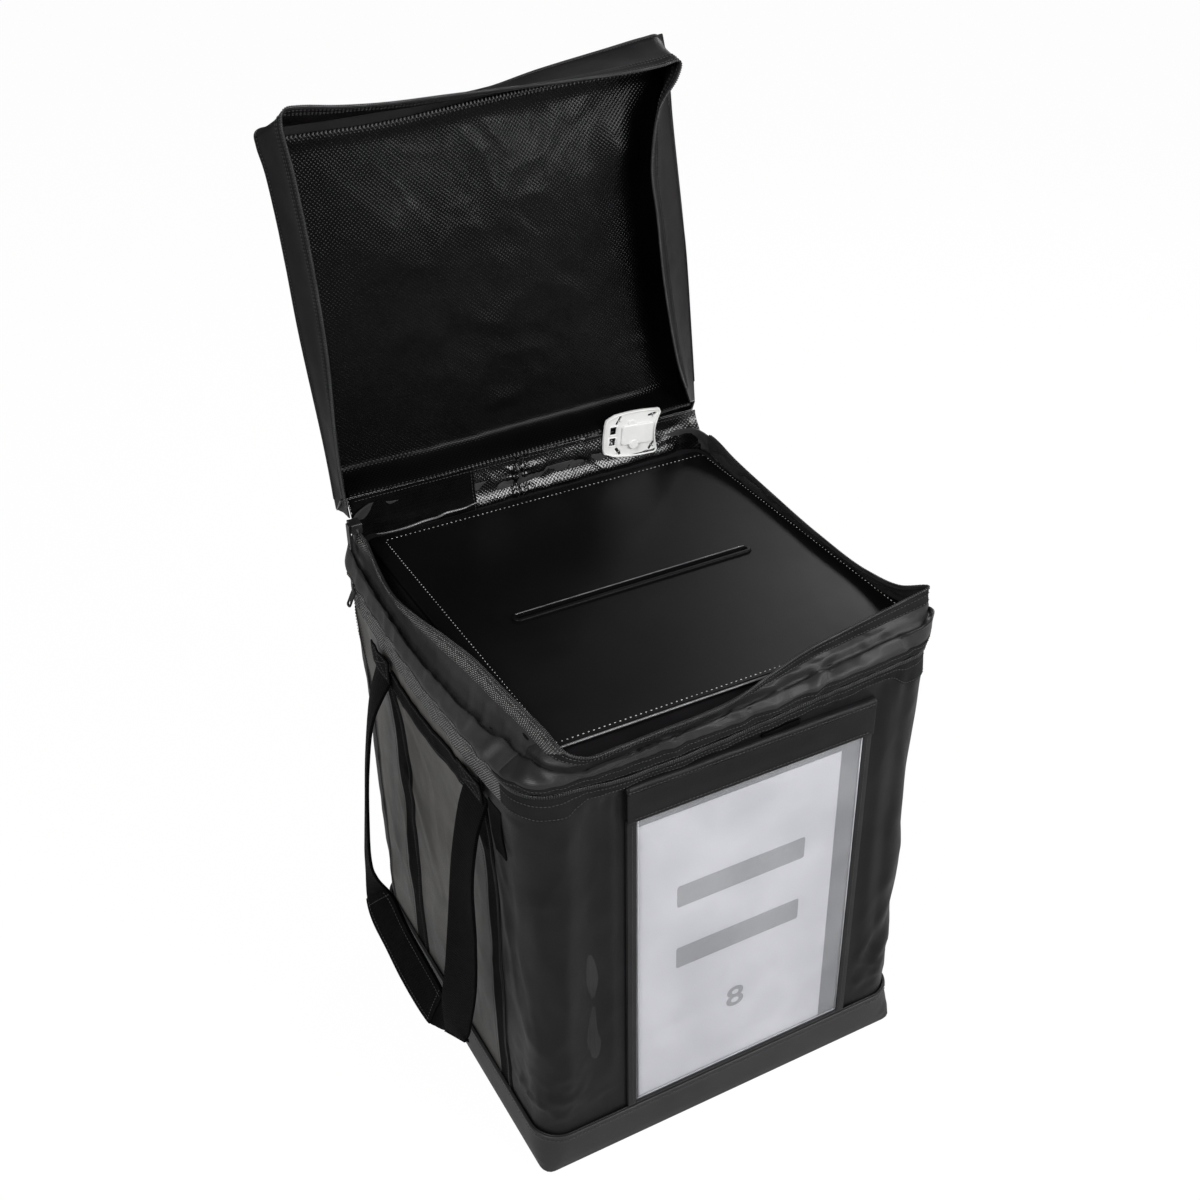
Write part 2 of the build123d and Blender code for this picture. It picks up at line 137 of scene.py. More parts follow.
def crossed(tree, pitch, angle):
    # threads that cross: one set turned by the angle, the other by as much the other way
    where = space(tree, "UV")
    sets = [ribs(tree, addNode(tree, "ShaderNodeMapping", None, Vector=where,
                               Rotation=(0, 0, math.radians(turn))).outputs[0], pitch) for turn in (angle, -angle)]
    return maths(tree, "MULTIPLY", *sets)


finishes = {}


def newFinish(name, color, roughness, gloss=0.5, **sockets):
    mat = bpy.data.materials.new(name)
    mat.use_nodes = True
    shader = mat.node_tree.nodes["Principled BSDF"]
    sockets.update({"Base Color": (*color, 1), "Roughness": roughness, "Specular IOR Level": gloss})
    for key, value in sockets.items():
        shader.inputs[key].default_value = value
    finishes[name] = mat
    return mat.node_tree, shader


def toneSpread(tree, shader, fac, dark, light):
    stops = addNode(tree, "ShaderNodeValToRGB", None, Fac=fac)
    for stop, position, tone in zip(stops.color_ramp.elements, (0.35, 0.65), (dark, light)):
        stop.position, stop.color = position, (*tone, 1)
    tree.links.new(stops.outputs[0], shader.inputs["Base Color"])


def roughSpread(tree, shader, fac, low, high):
    ends = {"From Min": 0.3, "From Max": 0.7, "To Min": low, "To Max": high}
    spread = addNode(tree, "ShaderNodeMapRange", None, Value=fac, **ends)
    tree.links.new(spread.outputs[0], shader.inputs["Roughness"])


def bumpTo(tree, shader, height, depth, strength=1.0):
    bump = addNode(tree, "ShaderNodeBump", None, Height=height, Distance=depth * mm, Strength=strength)
    tree.links.new(bump.outputs[0], shader.inputs["Normal"])


cloths = {  # dark and light tone, roughness, weave and its depth, gloss; the boards' weave lies in their own space
    "coatedNylon": ((0.0062, 0.0058, 0.0064), (0.0108, 0.0100, 0.0110), (0.33, 0.44), 0.7, 0.05, 0.15),
    # the side cloth is the coated nylon painted lighter, a painted sheen for the lamp-lit sides
    "paintedSheenSideCloth": ((0.044, 0.042, 0.039), (0.068, 0.065, 0.060), (0.36, 0.48), 0.7, 0.05, 0.4),
    # the collar cloth in two copies: painted lighter for the lit left side, painted darker for the front
    "paintedLightCollarCloth": ((0.027, 0.0262, 0.0266), (0.038, 0.037, 0.0375), (0.4, 0.5), 0.7, 0.06, 0.3),
    "paintedShadeCollarCloth": ((0.015, 0.0145, 0.0150), (0.0245, 0.0238, 0.0244), (0.33, 0.44), 0.7, 0.06, 0.27),
    "lidNylon": ((0.0065, 0.0059, 0.0066), (0.012, 0.0108, 0.0120), (0.38, 0.5), 0.7, 0.05, 0.12),
    "baseVinyl": ((0.020, 0.0195, 0.0205), (0.027, 0.0262, 0.0272), (0.42, 0.5), 0.9, 0.03, 0.3),
    "zipTape": ((0.006, 0.006, 0.0063), (0.012, 0.0117, 0.0122), (0.6, 0.75), 0.8, 0.16, 0.12),
    "binding": ((0.008, 0.0078, 0.0082), (0.014, 0.0135, 0.0142), (0.36, 0.48), 0.6, 0.05, 0.25),
    "stiffener": ((0.02, 0.02, 0.02), (0.03, 0.03, 0.03), (0.6, 0.7), 4.0, 0.25, 0.2, "Object"),
}
mouldings = {  # dark and light tone, roughness, grain and its depth, share of metal
    "whitePlastic": ((0.72, 0.72, 0.71), (0.78, 0.78, 0.77), (0.3, 0.38), 900, 0.02),
    "coilPlastic": ((0.012, 0.012, 0.0125), (0.03, 0.03, 0.031), (0.3, 0.4), 1500, 0.02),
    "zipMetal": ((0.02, 0.02, 0.021), (0.034, 0.034, 0.035), (0.3, 0.42), 800, 0.04, 0.6),
    "stapleSteel": ((0.5, 0.5, 0.5), (0.62, 0.62, 0.61), (0.22, 0.32), 900, 0.02, 1.0),
    "darkThread": ((0.022, 0.022, 0.023), (0.042, 0.042, 0.043), (0.5, 0.6), 2500, 0.05),
    "greyThread": ((0.10, 0.10, 0.10), (0.20, 0.20, 0.20), (0.45, 0.6), 2500, 0.05),
    "paleThread": ((0.34, 0.34, 0.33), (0.6, 0.6, 0.58), (0.45, 0.6), 2500, 0.05),
    # pale trim: its light colour paints the highlight on beads and folds
    "trimEdge": ((0.10, 0.10, 0.105), (0.18, 0.18, 0.185), (0.14, 0.22), 700, 0.02),
    # pale vinyl edge: its colour paints the light line along the clear sheet's edge
    "vinylEdge": ((0.32, 0.33, 0.35), (0.42, 0.43, 0.45), (0.12, 0.2), 600, 0.03),
}
vinylGlosses = {"shinyVinyl": (0.12, 0.24), "stripVinyl": (0.6, 0.18)}     # gloss, depth of the scrim


def makeCloth(name, dark, light, rough, weave, depth, gloss, mapping="UV", cloud=14):
    # a woven, coated cloth: two crossed sets of threads, cloudy tone and worn gloss
    tree, shader = newFinish(name, dark, rough[0], gloss)
    toneSpread(tree, shader, cloudy(tree, cloud), dark, light)
    roughSpread(tree, shader, cloudy(tree, cloud * 2.3), *rough)
    where = space(tree, mapping)
    threads = maths(tree, "MULTIPLY", *(ribs(tree, where, weave, way) for way in "XY"))
    bumpTo(tree, shader, plusShare(tree, threads, cloudy(tree, 420, 4.0), 1.6), depth)


def makeMoulded(name, dark, light, rough, grain, depth, metal=0.0):
    tree, shader = newFinish(name, dark, rough[0], Metallic=metal)
    toneSpread(tree, shader, cloudy(tree, 60), dark, light)
    roughSpread(tree, shader, cloudy(tree, 150), *rough)
    bumpTo(tree, shader, cloudy(tree, grain), depth)


def makeFinishes():
    for name, look in cloths.items():
        makeCloth(name, *look)
    for name, look in mouldings.items():
        makeMoulded(name, *look)

    # webbing: slanting ribs over coarse cords
    tree, shader = newFinish("webbing", (0.004, 0.004, 0.0043), 0.5, 0.05)
    toneSpread(tree, shader, cloudy(tree, 90), (0.0009, 0.0009, 0.0009), (0.0022, 0.0021, 0.0022))
    slant = crossed(tree, 1.3, 38)
    bumpTo(tree, shader, plusShare(tree, slant, ribs(tree, space(tree, "UV"), 3.1, "Y"), 0.5), 0.3)
    roughSpread(tree, shader, slant, 0.75, 0.5)

    # open net of the zip tapes: paler threads over dark holes
    tree, shader = newFinish("meshTape", (0.05, 0.05, 0.05), 0.5, 0.25)
    net = crossed(tree, 1.7, 45)
    speckle = maths(tree, "ADD", maths(tree, "MULTIPLY", cloudy(tree, 260), 0.5), 0.5)
    toneSpread(tree, shader, maths(tree, "MULTIPLY", net, speckle), (0.03, 0.03, 0.031), (0.44, 0.43, 0.42))
    bumpTo(tree, shader, net, 0.3)
    roughSpread(tree, shader, net, 0.6, 0.45)

    # glossy vinyl on a scrim: the diamond grid of threads shows through
    for name, (gloss, grain) in vinylGlosses.items():
        tree, shader = newFinish(name, (0.004, 0.004, 0.0043), 0.15, gloss)
        toneSpread(tree, shader, cloudy(tree, 9), (0.0012, 0.0011, 0.0012), (0.0026, 0.0024, 0.0026))
        bumpTo(tree, shader, plusShare(tree, crossed(tree, 2.5, 45), cloudy(tree, 28, 2.0), 2.0), grain)
        roughSpread(tree, shader, cloudy(tree, 20), 0.1, 0.2)

    # deck leatherette: near-smooth satin skin with a pressed grain
    tree, shader = newFinish("leatherette", (0.003, 0.003, 0.003), 0.4, 0.09)
    toneSpread(tree, shader, cloudy(tree, 6), (0.0032, 0.0032, 0.0034), (0.0052, 0.0050, 0.0052))
    cell = addNode(tree, "ShaderNodeTexVoronoi", {"feature": "DISTANCE_TO_EDGE"}, Vector=space(tree),
                   Scale=900.0).outputs["Distance"]
    bumpTo(tree, shader, plusShare(tree, cell, cloudy(tree, 60, 2.0), 0.4), 0.05)
    roughSpread(tree, shader, cloudy(tree, 12), 0.38, 0.44)

    # clear vinyl of the window: hazy, with faint ripples
    tree, shader = newFinish("clearVinyl", (0.60, 0.61, 0.64), 0.09, **{"Alpha": 0.26, "Coat Weight": 0.5})
    toneSpread(tree, shader, cloudy(tree, 16), (0.52, 0.53, 0.56), (0.68, 0.69, 0.72))
    bumpTo(tree, shader, cloudy(tree, 22, 2.0), 1.1, 0.6)

    tree, shader = newFinish("paper", (0.78, 0.775, 0.815), 0.62)
    toneSpread(tree, shader, cloudy(tree, 12), (0.70, 0.69, 0.745), (0.75, 0.74, 0.79))
    bumpTo(tree, shader, cloudy(tree, 700, 5.0), 0.03)
    tree, shader = newFinish("printInk", (0.16, 0.16, 0.165), 0.5)
    toneSpread(tree, shader, cloudy(tree, 260), (0.15, 0.15, 0.155), (0.19, 0.19, 0.195))


# floor: half its side in m, its tone under the lamps, how much of it glows white in view and in gloss; world light
backdrop = dict(half=6.0, tone=0.42, glow=1.06, show=0.92, shine=0.3, world=0.14)


def makeBackdrop():
    b, h = backdrop, backdrop["half"]
    mesh = bpy.data.meshes.new("floor")
    mesh.from_pydata([(-h, -h, 0), (h, -h, 0), (h, h, 0), (-h, h, 0)], [], [(0, 1, 2, 3)])
    mat = bpy.data.materials.new("floor")
    mesh.materials.append(mat)
    obj = addObject("floor", mesh)
    obj.location.z = -0.4 * mm
    mat.use_nodes = True
    tree = mat.node_tree
    tree.nodes.remove(tree.nodes["Principled BSDF"])
    rays = addNode(tree, "ShaderNodeLightPath").outputs
    seen = maths(tree, "MAXIMUM", maths(tree, "MAXIMUM", rays["Is Camera Ray"], rays["Is Transmission Ray"]),
                 maths(tree, "MULTIPLY", rays["Is Glossy Ray"], b["shine"]))
    flat = addNode(tree, "ShaderNodeBsdfDiffuse", None, Color=(b["tone"], b["tone"], b["tone"], 1)).outputs[0]
    glow = addNode(tree, "ShaderNodeEmission", None, Color=(1, 1, 1, 1), Strength=b["glow"]).outputs[0]
    mix = addNode(tree, "ShaderNodeMixShader", None, i0=maths(tree, "MULTIPLY", seen, b["show"]), i1=flat, i2=glow)
    tree.links.new(mix.outputs[0], tree.nodes["Material Output"].inputs[0])

    scene.world = bpy.data.worlds.new("studio")
    scene.world.use_nodes = True
    tree = scene.world.node_tree
    rays = addNode(tree, "ShaderNodeLightPath").outputs
    plain = tree.nodes["Background"]
    plain.inputs[0].default_value, plain.inputs[1].default_value = (1, 1, 1, 1), b["world"]
    white = addNode(tree, "ShaderNodeBackground", None, Color=(1, 1, 1, 1), Strength=1.0).outputs[0]
    mix = addNode(tree, "ShaderNodeMixShader", None, i0=rays["Is Camera Ray"], i1=plain.outputs[0], i2=white)
    tree.links.new(mix.outputs[0], tree.nodes["World Output"].inputs[0])


makeCamera(camera)
makeLamps()
makeFinishes()
makeBackdrop()
print("stage: camera, lamps, finishes and floor")


# curves, folds and meshes
def ease(t):
    t = np.clip(t, 0, 1)
    return t * t * (3 - 2 * t)


def within(v, rise, end, fall):
    # rises from v = 0 and is back at nothing at v = end
    return ease(v / rise) * ease((end - v) / fall)


def ridge(x, centre, width):
    return np.exp(-((x - centre) / width) ** 2)


def unit(v):
    return v / np.maximum(np.linalg.norm(v, axis=-1, keepdims=True), 1e-9)


def throughKeys(keys, at, wrap=None):
    # a smooth curve through rows of (position, values...), read at many positions
    keys = np.array(sorted(keys), float)
    if wrap:
        keys = np.vstack([keys[-2:], keys, keys[:2]])
        keys[:2, 0] -= wrap
        keys[-2:, 0] += wrap
    x, y = keys[:, 0], keys[:, 1:]
    at = np.asarray(at, float)
    slope = np.gradient(y, x, axis=0) if len(x) > 2 else np.repeat((y[1:] - y[:-1]) / (x[1] - x[0]), 2, 0)
    i = np.clip(np.searchsorted(x, at, "right") - 1, 0, len(x) - 2)
    h = x[i + 1] - x[i]
    t = np.clip((at - x[i]) / h, 0, 1)[..., None]
    h = h[..., None]
    return ((1 + 2 * t) * (1 - t) ** 2 * y[i] + t * (1 - t) ** 2 * h * slope[i]
            + t * t * (3 - 2 * t) * y[i + 1] + t * t * (t - 1) * h * slope[i + 1])


def wavy(scale, seed, *place):
    # smooth noise, -1 to 1, over one, two or three coordinates in mm; scale is the size of its waves
    place = np.broadcast_arrays(*place, 0.0, 0.0)[:3]
    rows = zip(*(np.asarray(p, float).ravel() / scale for p in place))
    found = [noise.noise(Vector((x + seed, y - seed, z + 2 * seed))) for x, y, z in rows]
    return np.array(found).reshape(place[0].shape)


def crumple(scale, seed, x, y):
    # sharp little ridges, as in creased coated cloth; 0 to 1.4, mostly low
    a = np.abs(wavy(scale, seed, x, y))
    b = np.abs(wavy(scale * 0.55, seed + 5, x, y * 0.8))
    return np.clip(1 - 3.2 * a, 0, 1) + 0.45 * np.clip(1 - 3.6 * b, 0, 1)


def dress(obj, body, replaces=()):
    if body:
        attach(obj, body)
    if replaces:
        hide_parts(*replaces)


def paint(node, material):
    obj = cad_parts[node]
    obj.data.materials.clear()
    obj.data.materials.append(finishes[material])


def putMesh(name, verts, faces, material, body, slot, smooth=True, uvs=None, replaces=()):
    mesh = bpy.data.meshes.new(name)
    mesh.from_pydata([tuple(v) for v in np.asarray(verts, float) * mm], [], faces)
    mesh.materials.append(finishes[material])
    if uvs is not None:
        layer = mesh.uv_layers.new(name="UVMap")
        loops = np.zeros(len(mesh.loops), np.int32)
        mesh.loops.foreach_get("vertex_index", loops)
        layer.data.foreach_set("uv", (np.asarray(uvs, float)[loops] * mm).astype(np.float32).ravel())
    mesh.polygons.foreach_set("use_smooth", [smooth] * len(mesh.polygons))
    mesh.update()
    obj = addObject(name, mesh)
    dress(obj, body, replaces)
    return obj


def gridFaces(rows, cols, closed=False):
    faces = []
    for r in range(rows - 1):
        for c in range(cols if closed else cols - 1):
            d = (c + 1) % cols
            faces.append((r * cols + c, r * cols + d, (r + 1) * cols + d, (r + 1) * cols + c))
    return faces


def gridNormals(grid):
    return unit(np.cross(np.gradient(grid, axis=1), np.gradient(grid, axis=0)))


def gridUv(grid):
    along = np.linalg.norm(np.diff(grid, axis=1), axis=-1).mean(0)
    down = np.linalg.norm(np.diff(grid, axis=0), axis=-1).mean(1)
    u, v = np.concatenate([[0], np.cumsum(along)]), np.concatenate([[0], np.cumsum(down)])
    return np.stack(np.meshgrid(u, v), -1).reshape(-1, 2)


def skinned(front, back, side):
    # the closed skin of two grids that lie one behind the other
    rows, cols = front.shape[:2]
    count = rows * cols
    faces = [f[::-1] if side > 0 else f for f in gridFaces(rows, cols)]
    faces += [tuple(i + count for i in f[::-1]) for f in faces]
    rim = (list(range(cols)) + [r * cols + cols - 1 for r in range(1, rows)]
           + [(rows - 1) * cols + c for c in range(cols - 2, -1, -1)] + [r * cols for r in range(rows - 2, 0, -1)])
    for a, b in zip(rim, rim[1:] + rim[:1]):
        quad = (a, b, b + count, a + count)
        faces.append(quad if side > 0 else quad[::-1])
    return np.vstack([front.reshape(-1, 3), back.reshape(-1, 3)]), faces


def softEdge(obj, width, angle):
    edge = obj.modifiers.new("softEdge", "BEVEL")
    edge.width, edge.segments, edge.limit_method, edge.angle_limit = width * mm, 2, "ANGLE", angle


def clothSheet(name, grid, thickness, material, body, slot, replaces=(), side=1):
    # grid is rows x columns of points; the cloth's thickness goes to the side of its normal
    verts, faces = skinned(grid, grid + gridNormals(grid) * thickness * side, side)
    uv = gridUv(grid)
    obj = putMesh(name, verts, faces, material, body, slot, True, np.vstack([uv, uv]), replaces)
    softEdge(obj, thickness * 0.3, 1.0)
    return obj


def tube(path, radius, sides=8, closed=False):
    path = np.asarray(path, float)
    tangent = unit(np.roll(path, -1, 0) - np.roll(path, 1, 0) if closed else np.gradient(path, axis=0))
    a = unit(np.cross(tangent, np.eye(3)[np.argmin(abs(tangent).mean(0))]))
    b = np.cross(tangent, a)
    turn = np.linspace(0, 2 * np.pi, sides, endpoint=False)
    rings = path[:, None] + radius * (a[:, None] * np.cos(turn)[:, None] + b[:, None] * np.sin(turn)[:, None])
    n = len(path)
    faces = [f[::-1] for f in gridFaces(n, sides, True)]
    if closed:
        faces += [((n - 1) * sides + (c + 1) % sides, (n - 1) * sides + c, c, (c + 1) % sides) for c in range(sides)]
    else:
        faces += [tuple(range(sides)), tuple((n - 1) * sides + c for c in range(sides - 1, -1, -1))]
    return rings.reshape(-1, 3), faces


def gather(parts):
    verts, faces, start = [], [], 0
    for v, f in parts:
        verts.append(v)
        faces += [tuple(i + start for i in face) for face in f]
        start += len(v)
    return np.vstack(verts), faces


def putParts(name, parts, material, body, slot, smooth=True, replaces=()):
    return putMesh(name, *gather(parts), material, body, slot, smooth, None, replaces)


def walk(path, pitch, normal):
    # points, directions and outward ways every pitch along a line; normal is one way or one for each path point
    path = np.asarray(path, float)
    length = np.concatenate([[0], np.cumsum(np.linalg.norm(np.diff(path, axis=0), axis=1))])
    at = np.arange(pitch / 2, length[-1] - pitch / 2 + 1e-6, pitch)

    def read(values, where):
        return np.stack([np.interp(where, length, values[:, k]) for k in range(3)], 1)
    ahead = read(path, at + pitch * 0.1) - read(path, at - pitch * 0.1)
    normal = read(np.broadcast_to(np.asarray(normal, float), path.shape), at)
    return read(path, at), unit(ahead), unit(normal)


stitchShape = dict(pitch=3.2, length=2.3, width=0.62, height=0.42)
stitchRings = [(-1.0, 0.35, 0.0), (-0.6, 1.0, 0.75), (0.0, 1.0, 1.0), (0.6, 1.0, 0.75), (1.0, 0.35, 0.0)]


def stitchRow(path, normal, **shape):
    # short rounded threads lying along a line
    s = dict(stitchShape, **shape)
    half, wide, high = s["length"] / 2, s["width"] / 2, s["height"]
    faces = [(r * 4 + c, r * 4 + c + 1, r * 4 + c + 5, r * 4 + c + 4) for r in range(4) for c in range(3)]
    faces += [(r * 4 + 3, r * 4, r * 4 + 4, r * 4 + 7) for r in range(4)]
    faces += [(3, 2, 1, 0), (16, 17, 18, 19)]
    parts = []
    for p, a, n in zip(*walk(path, s["pitch"], normal)):
        w = np.cross(n, a)
        parts.append((np.array([p + a * half * along + w * wide * broad * across + n * high * (up * rise)
                                for along, broad, rise in stitchRings
                                for across, up in ((-1, -0.3), (-0.7, 0.6), (0.7, 0.6), (1, -0.3))]), faces))
    return gather(parts)


def crosswise(path, normal, pitch, length, width, height):
    # zip teeth: short rounded bars lying across a line, each a little askew
    faces = [(r * 4 + c, r * 4 + c + 4, r * 4 + c + 5, r * 4 + c + 1) for r in range(3) for c in range(3)]
    faces += [(r * 4 + 3, r * 4 + 7, r * 4 + 4, r * 4) for r in range(3)]
    faces += [(0, 1, 2, 3), (15, 14, 13, 12)]
    parts = []
    for i, (p, a, n) in enumerate(zip(*walk(path, pitch, normal))):
        across = np.cross(n, a)
        a = a + across * (0.16 if i % 2 else -0.16)
        parts.append((np.array([p + across * length / 2 * along + a * width / 2 * wide + n * height * rise * up
                                for along, rise in ((-1.0, 0.45), (-0.55, 1.0), (0.55, 1.0), (1.0, 0.45))
                                for wide, up in ((-1, 0.0), (-0.7, 0.8), (0.7, 0.8), (1, 0.0))]), faces))
    return gather(parts)


def roundedLoop(cx, cy, halfX, halfY, corner, steps=8):
    points = []
    for px, py, start in ((1, 1, 0), (-1, 1, 90), (-1, -1, 180), (1, -1, 270)):
        for k in range(steps + 1):
            turn = math.radians(start + 90 * k / steps)
            points.append((cx + px * (halfX - corner) + corner * math.cos(turn),
                           cy + py * (halfY - corner) + corner * math.sin(turn)))
    return points


def meshOf(holder, name, material):
    # a curve or a text turned into a mesh, which takes its place
    bpy.context.view_layer.update()
    mesh = bpy.data.meshes.new_from_object(holder)
    place = holder.matrix_world.copy()
    bpy.data.objects.remove(holder)
    mesh.materials.clear()
    mesh.materials.append(finishes[material])
    obj = addObject(name, mesh)
    obj.matrix_world = place
    return obj


def plateFromLoops(name, loops, z0, z1, edge, material, body, replaces=()):
    # a flat plate with rounded edges and holes, from closed loops of x, y
    curve = bpy.data.curves.new(name, "CURVE")
    curve.dimensions, curve.fill_mode = "2D", "BOTH"
    curve.extrude, curve.bevel_depth = ((z1 - z0) / 2 - edge) * mm, edge * mm
    curve.bevel_resolution, curve.offset = 3, -edge * mm
    for loop in loops:
        spline = curve.splines.new("POLY")
        spline.points.add(len(loop) - 1)
        for p, (x, y) in zip(spline.points, loop):
            p.co = (x * mm, y * mm, 0, 1)
        spline.use_cyclic_u = True
    obj = meshOf(addObject(name + "Curve", curve), name, material)
    obj.data.transform(Matrix.Translation((0, 0, (z0 + z1) / 2 * mm)))
    dress(obj, body, replaces)
    return obj


# body outline, counted from the middle of the back
halfSide, cornerRadius = 175.0, 24.0
straight = halfSide - cornerRadius
quarter = cornerRadius * math.pi / 2
aroundLength = 8 * straight + 4 * quarter
leftStart = straight + quarter            # distance along the outline at y = +straight on the left
frontStart = leftStart + 2 * straight + quarter
rightStart = frontStart + 2 * straight + quarter
rearStart = rightStart + 2 * straight + quarter
frontLeft, frontRight = frontStart - quarter / 2, rightStart - quarter / 2      # middles of the front corners


def leftAt(y):
    return leftStart + straight - y


def frontAt(x):
    return frontStart + straight + x


def rightAt(y):
    return rightStart + straight + y


def outline(s):
    # x, y and the outward direction at a distance s along the body's rounded outline
    s = np.mod(np.asarray(s, float), aroundLength)
    x, y, nx, ny = (np.zeros_like(s) for _ in range(4))
    runs = [(0, straight, (0, halfSide), (-1, 0)), (leftStart, 2 * straight, (-halfSide, straight), (0, -1)),
            (frontStart, 2 * straight, (-straight, -halfSide), (1, 0)),
            (rightStart, 2 * straight, (halfSide, -straight), (0, 1)),
            (rearStart, straight, (straight, halfSide), (-1, 0))]
    for start, length, (px, py), (dx, dy) in runs:
        on = (s >= start) & (s <= start + length)
        t = s[on] - start
        x[on], y[on], nx[on], ny[on] = px + dx * t, py + dy * t, dy, -dx
    corners = [(straight, (-straight, straight), 90), (leftStart + 2 * straight, (-straight, -straight), 180),
               (frontStart + 2 * straight, (straight, -straight), 270),
               (rightStart + 2 * straight, (straight, straight), 360)]
    for start, (px, py), angle in corners:
        on = (s > start) & (s < start + quarter)
        turn = np.radians(angle + (s[on] - start) / quarter * 90)
        nx[on], ny[on] = np.cos(turn), np.sin(turn)
        x[on], y[on] = px + cornerRadius * nx[on], py + cornerRadius * ny[on]
    return x, y, nx, ny


# the lower zip sags and bellies out: distance along the outline, how far out, height
zipLine = [
    (0, 1.5, 411.5), (140, 2.0, 411), (leftStart - quarter / 2, 3.5, 410), (leftAt(130), 6.5, 408),
    (leftAt(90), 9.5, 405.5), (leftAt(40), 11.0, 404.5), (leftAt(-40), 11.0, 404), (leftAt(-100), 9.5, 403.5),
    (leftAt(-145), 6.5, 403), (frontLeft, 4.5, 403), (frontAt(-145), 4.5, 402.5),
    (frontAt(-110), 6.5, 399.5), (frontAt(-70), 7.5, 400), (frontAt(-30), 7.5, 402), (frontAt(20), 6.5, 405),
    (frontAt(65), 5.0, 408), (frontAt(115), 3.5, 410), (frontAt(150), 2.0, 411.5),
    (frontRight, 1.0, 412), (rightAt(-130), 2.0, 411.5), (rightAt(-60), 5.0, 410),
    (rightAt(40), 5.0, 410), (rightAt(130), 2.0, 411.5), (rearStart - quarter / 2, 1.0, 412),
    (aroundLength - 100, 1.5, 411.5)]
zipHeight = 412.0


def zipAt(s):
    s = np.mod(np.asarray(s, float), aroundLength)
    found = throughKeys(zipLine, s, aroundLength)
    return found[..., 0], found[..., 1]


pocketArea = dict(left=-101, right=121, bottom=36, top=388, margin=14)
wallFolds = dict(pucker=1.15, slow=1.5, corner=2.6, foot=3.0)


def wallGap(s, z):
    # how far the wall's fabric stands out from the body's outline, at the height z it was sewn at
    out, x = zipAt(s)[0], outline(s)[0]
    belly = out * ease((z - 255) / (zipHeight - 255))
    overPocket = out * ease((z - 391) / (zipHeight - 391))
    under = np.clip(zipHeight - z, 0, 400)
    pucker = wallFolds["pucker"] * np.exp(-((under - 17) / 17) ** 2) * (
        wavy(9.0, 3.1, s, z * 0.35) + 0.6 * wavy(17.0, 8.2, s, z * 0.35)) * 1.6
    slow = wallFolds["slow"] * wavy(85.0, 5.5, s, z) * ease((z - 40) / 60) * ease(under / 50)
    creases = 0.8 * wavy(30.0, 2.2, s * 0.8 + z * 0.45, z * 0.35 - s * 0.2) * ease(under / 40)
    front = ease((s - frontStart) / 5) * ease((rightStart - quarter - s) / 5)
    crush = (1.7 - 0.9 * front) * (crumple(52, 8.8, s, z * 0.55) - 0.3) * ease((z - 44) / 30) * ease(
        under / 60)
    crush += 2.0 * (crumple(24, 1.3, s * 0.8, z) - 0.25) * ridge(z, 74, 34) * (
        ridge(s, frontLeft, 48) + 0.8 * ridge(s, frontAt(145), 26))
    # soft vertical folds beside the front corners
    upright = wallFolds["corner"] * ease((z - 60) / 80) * ease(under / 40) * (
        ridge(s, frontAt(-149 + 0.02 * (z - 200)), 9) - 0.8 * ridge(s, frontAt(-128), 10)
        + 0.7 * ridge(s, frontAt(-108), 7) + 0.55 * ridge(s, frontAt(133), 8) - 0.4 * ridge(s, frontAt(148), 6)
        + 0.4 * ridge(s, leftAt(-150), 8))
    # curved folds above the foot at the front left corner, and slanting ones low at the front right
    around = s - frontLeft
    footLeft = wallFolds["foot"] * ridge(around, 6, 42) * (
        ridge(z, 62 + 0.012 * around ** 2, 6) + 0.8 * ridge(z, 84 + 0.02 * around ** 2 + 0.25 * around, 6)
        - 0.8 * ridge(z, 73 + 0.014 * around ** 2, 5) + 0.55 * ridge(z, 112 - 0.5 * around, 8))
    across = s - frontAt(150)
    footRight = wallFolds["foot"] * 0.8 * ridge(across, 4, 30) * (
        ridge(z, 88 + 1.5 * across, 9) + 0.7 * ridge(z, 132 + 1.7 * across, 9) - 0.6 * ridge(z, 110 + 1.6 * across, 8)
        + 0.5 * ridge(z, 176 + 1.5 * across, 11))
    left, right, low, high, margin = (pocketArea[k] for k in ("left", "right", "bottom", "top", "margin"))
    inside = (within(x - left + margin, margin, right - left + 2 * margin, margin)
              * within(z - low + margin, margin, high - low + 2 * margin, margin) * front)
    folds = pucker + slow + creases + upright + 0.15 * footLeft + 0.5 * footRight + crush
    foot = ease((z - 34) / 14)
    # the zip's pull runs past here, so the cloth is pulled flat
    tight = ease((s - leftAt(-70)) / 20) * ease((frontLeft - s) / 10) * ease((z - 374) / 10)
    folds = folds * (1 - tight) + tight * np.minimum(folds, 0.0) * 0.4
    calm = 1 - inside * 0.97
    wide = ease((x - left + 30) / 30) * ease((right + 30 - x) / 30) * front
    belly = belly * (1 - wide) + overPocket * wide
    return (belly + folds * calm) * foot - 0.2 * inside


def wallDrop(s, z):
    return z + (zipAt(s)[1] - zipHeight) * ease((z - 355) / (zipHeight - 355))


def wallPoint(s, z, lift=0.0):
    s, z = np.broadcast_arrays(np.asarray(s, float), np.asarray(z, float))
    x, y, nx, ny = outline(s)
    out = wallGap(s, z) + lift
    return np.stack([x + nx * out, y + ny * out, wallDrop(s, z)], -1)


def wallNormal(s):
    nx, ny = outline(s)[2:]
    return np.stack([nx, ny, np.zeros_like(nx)], -1)


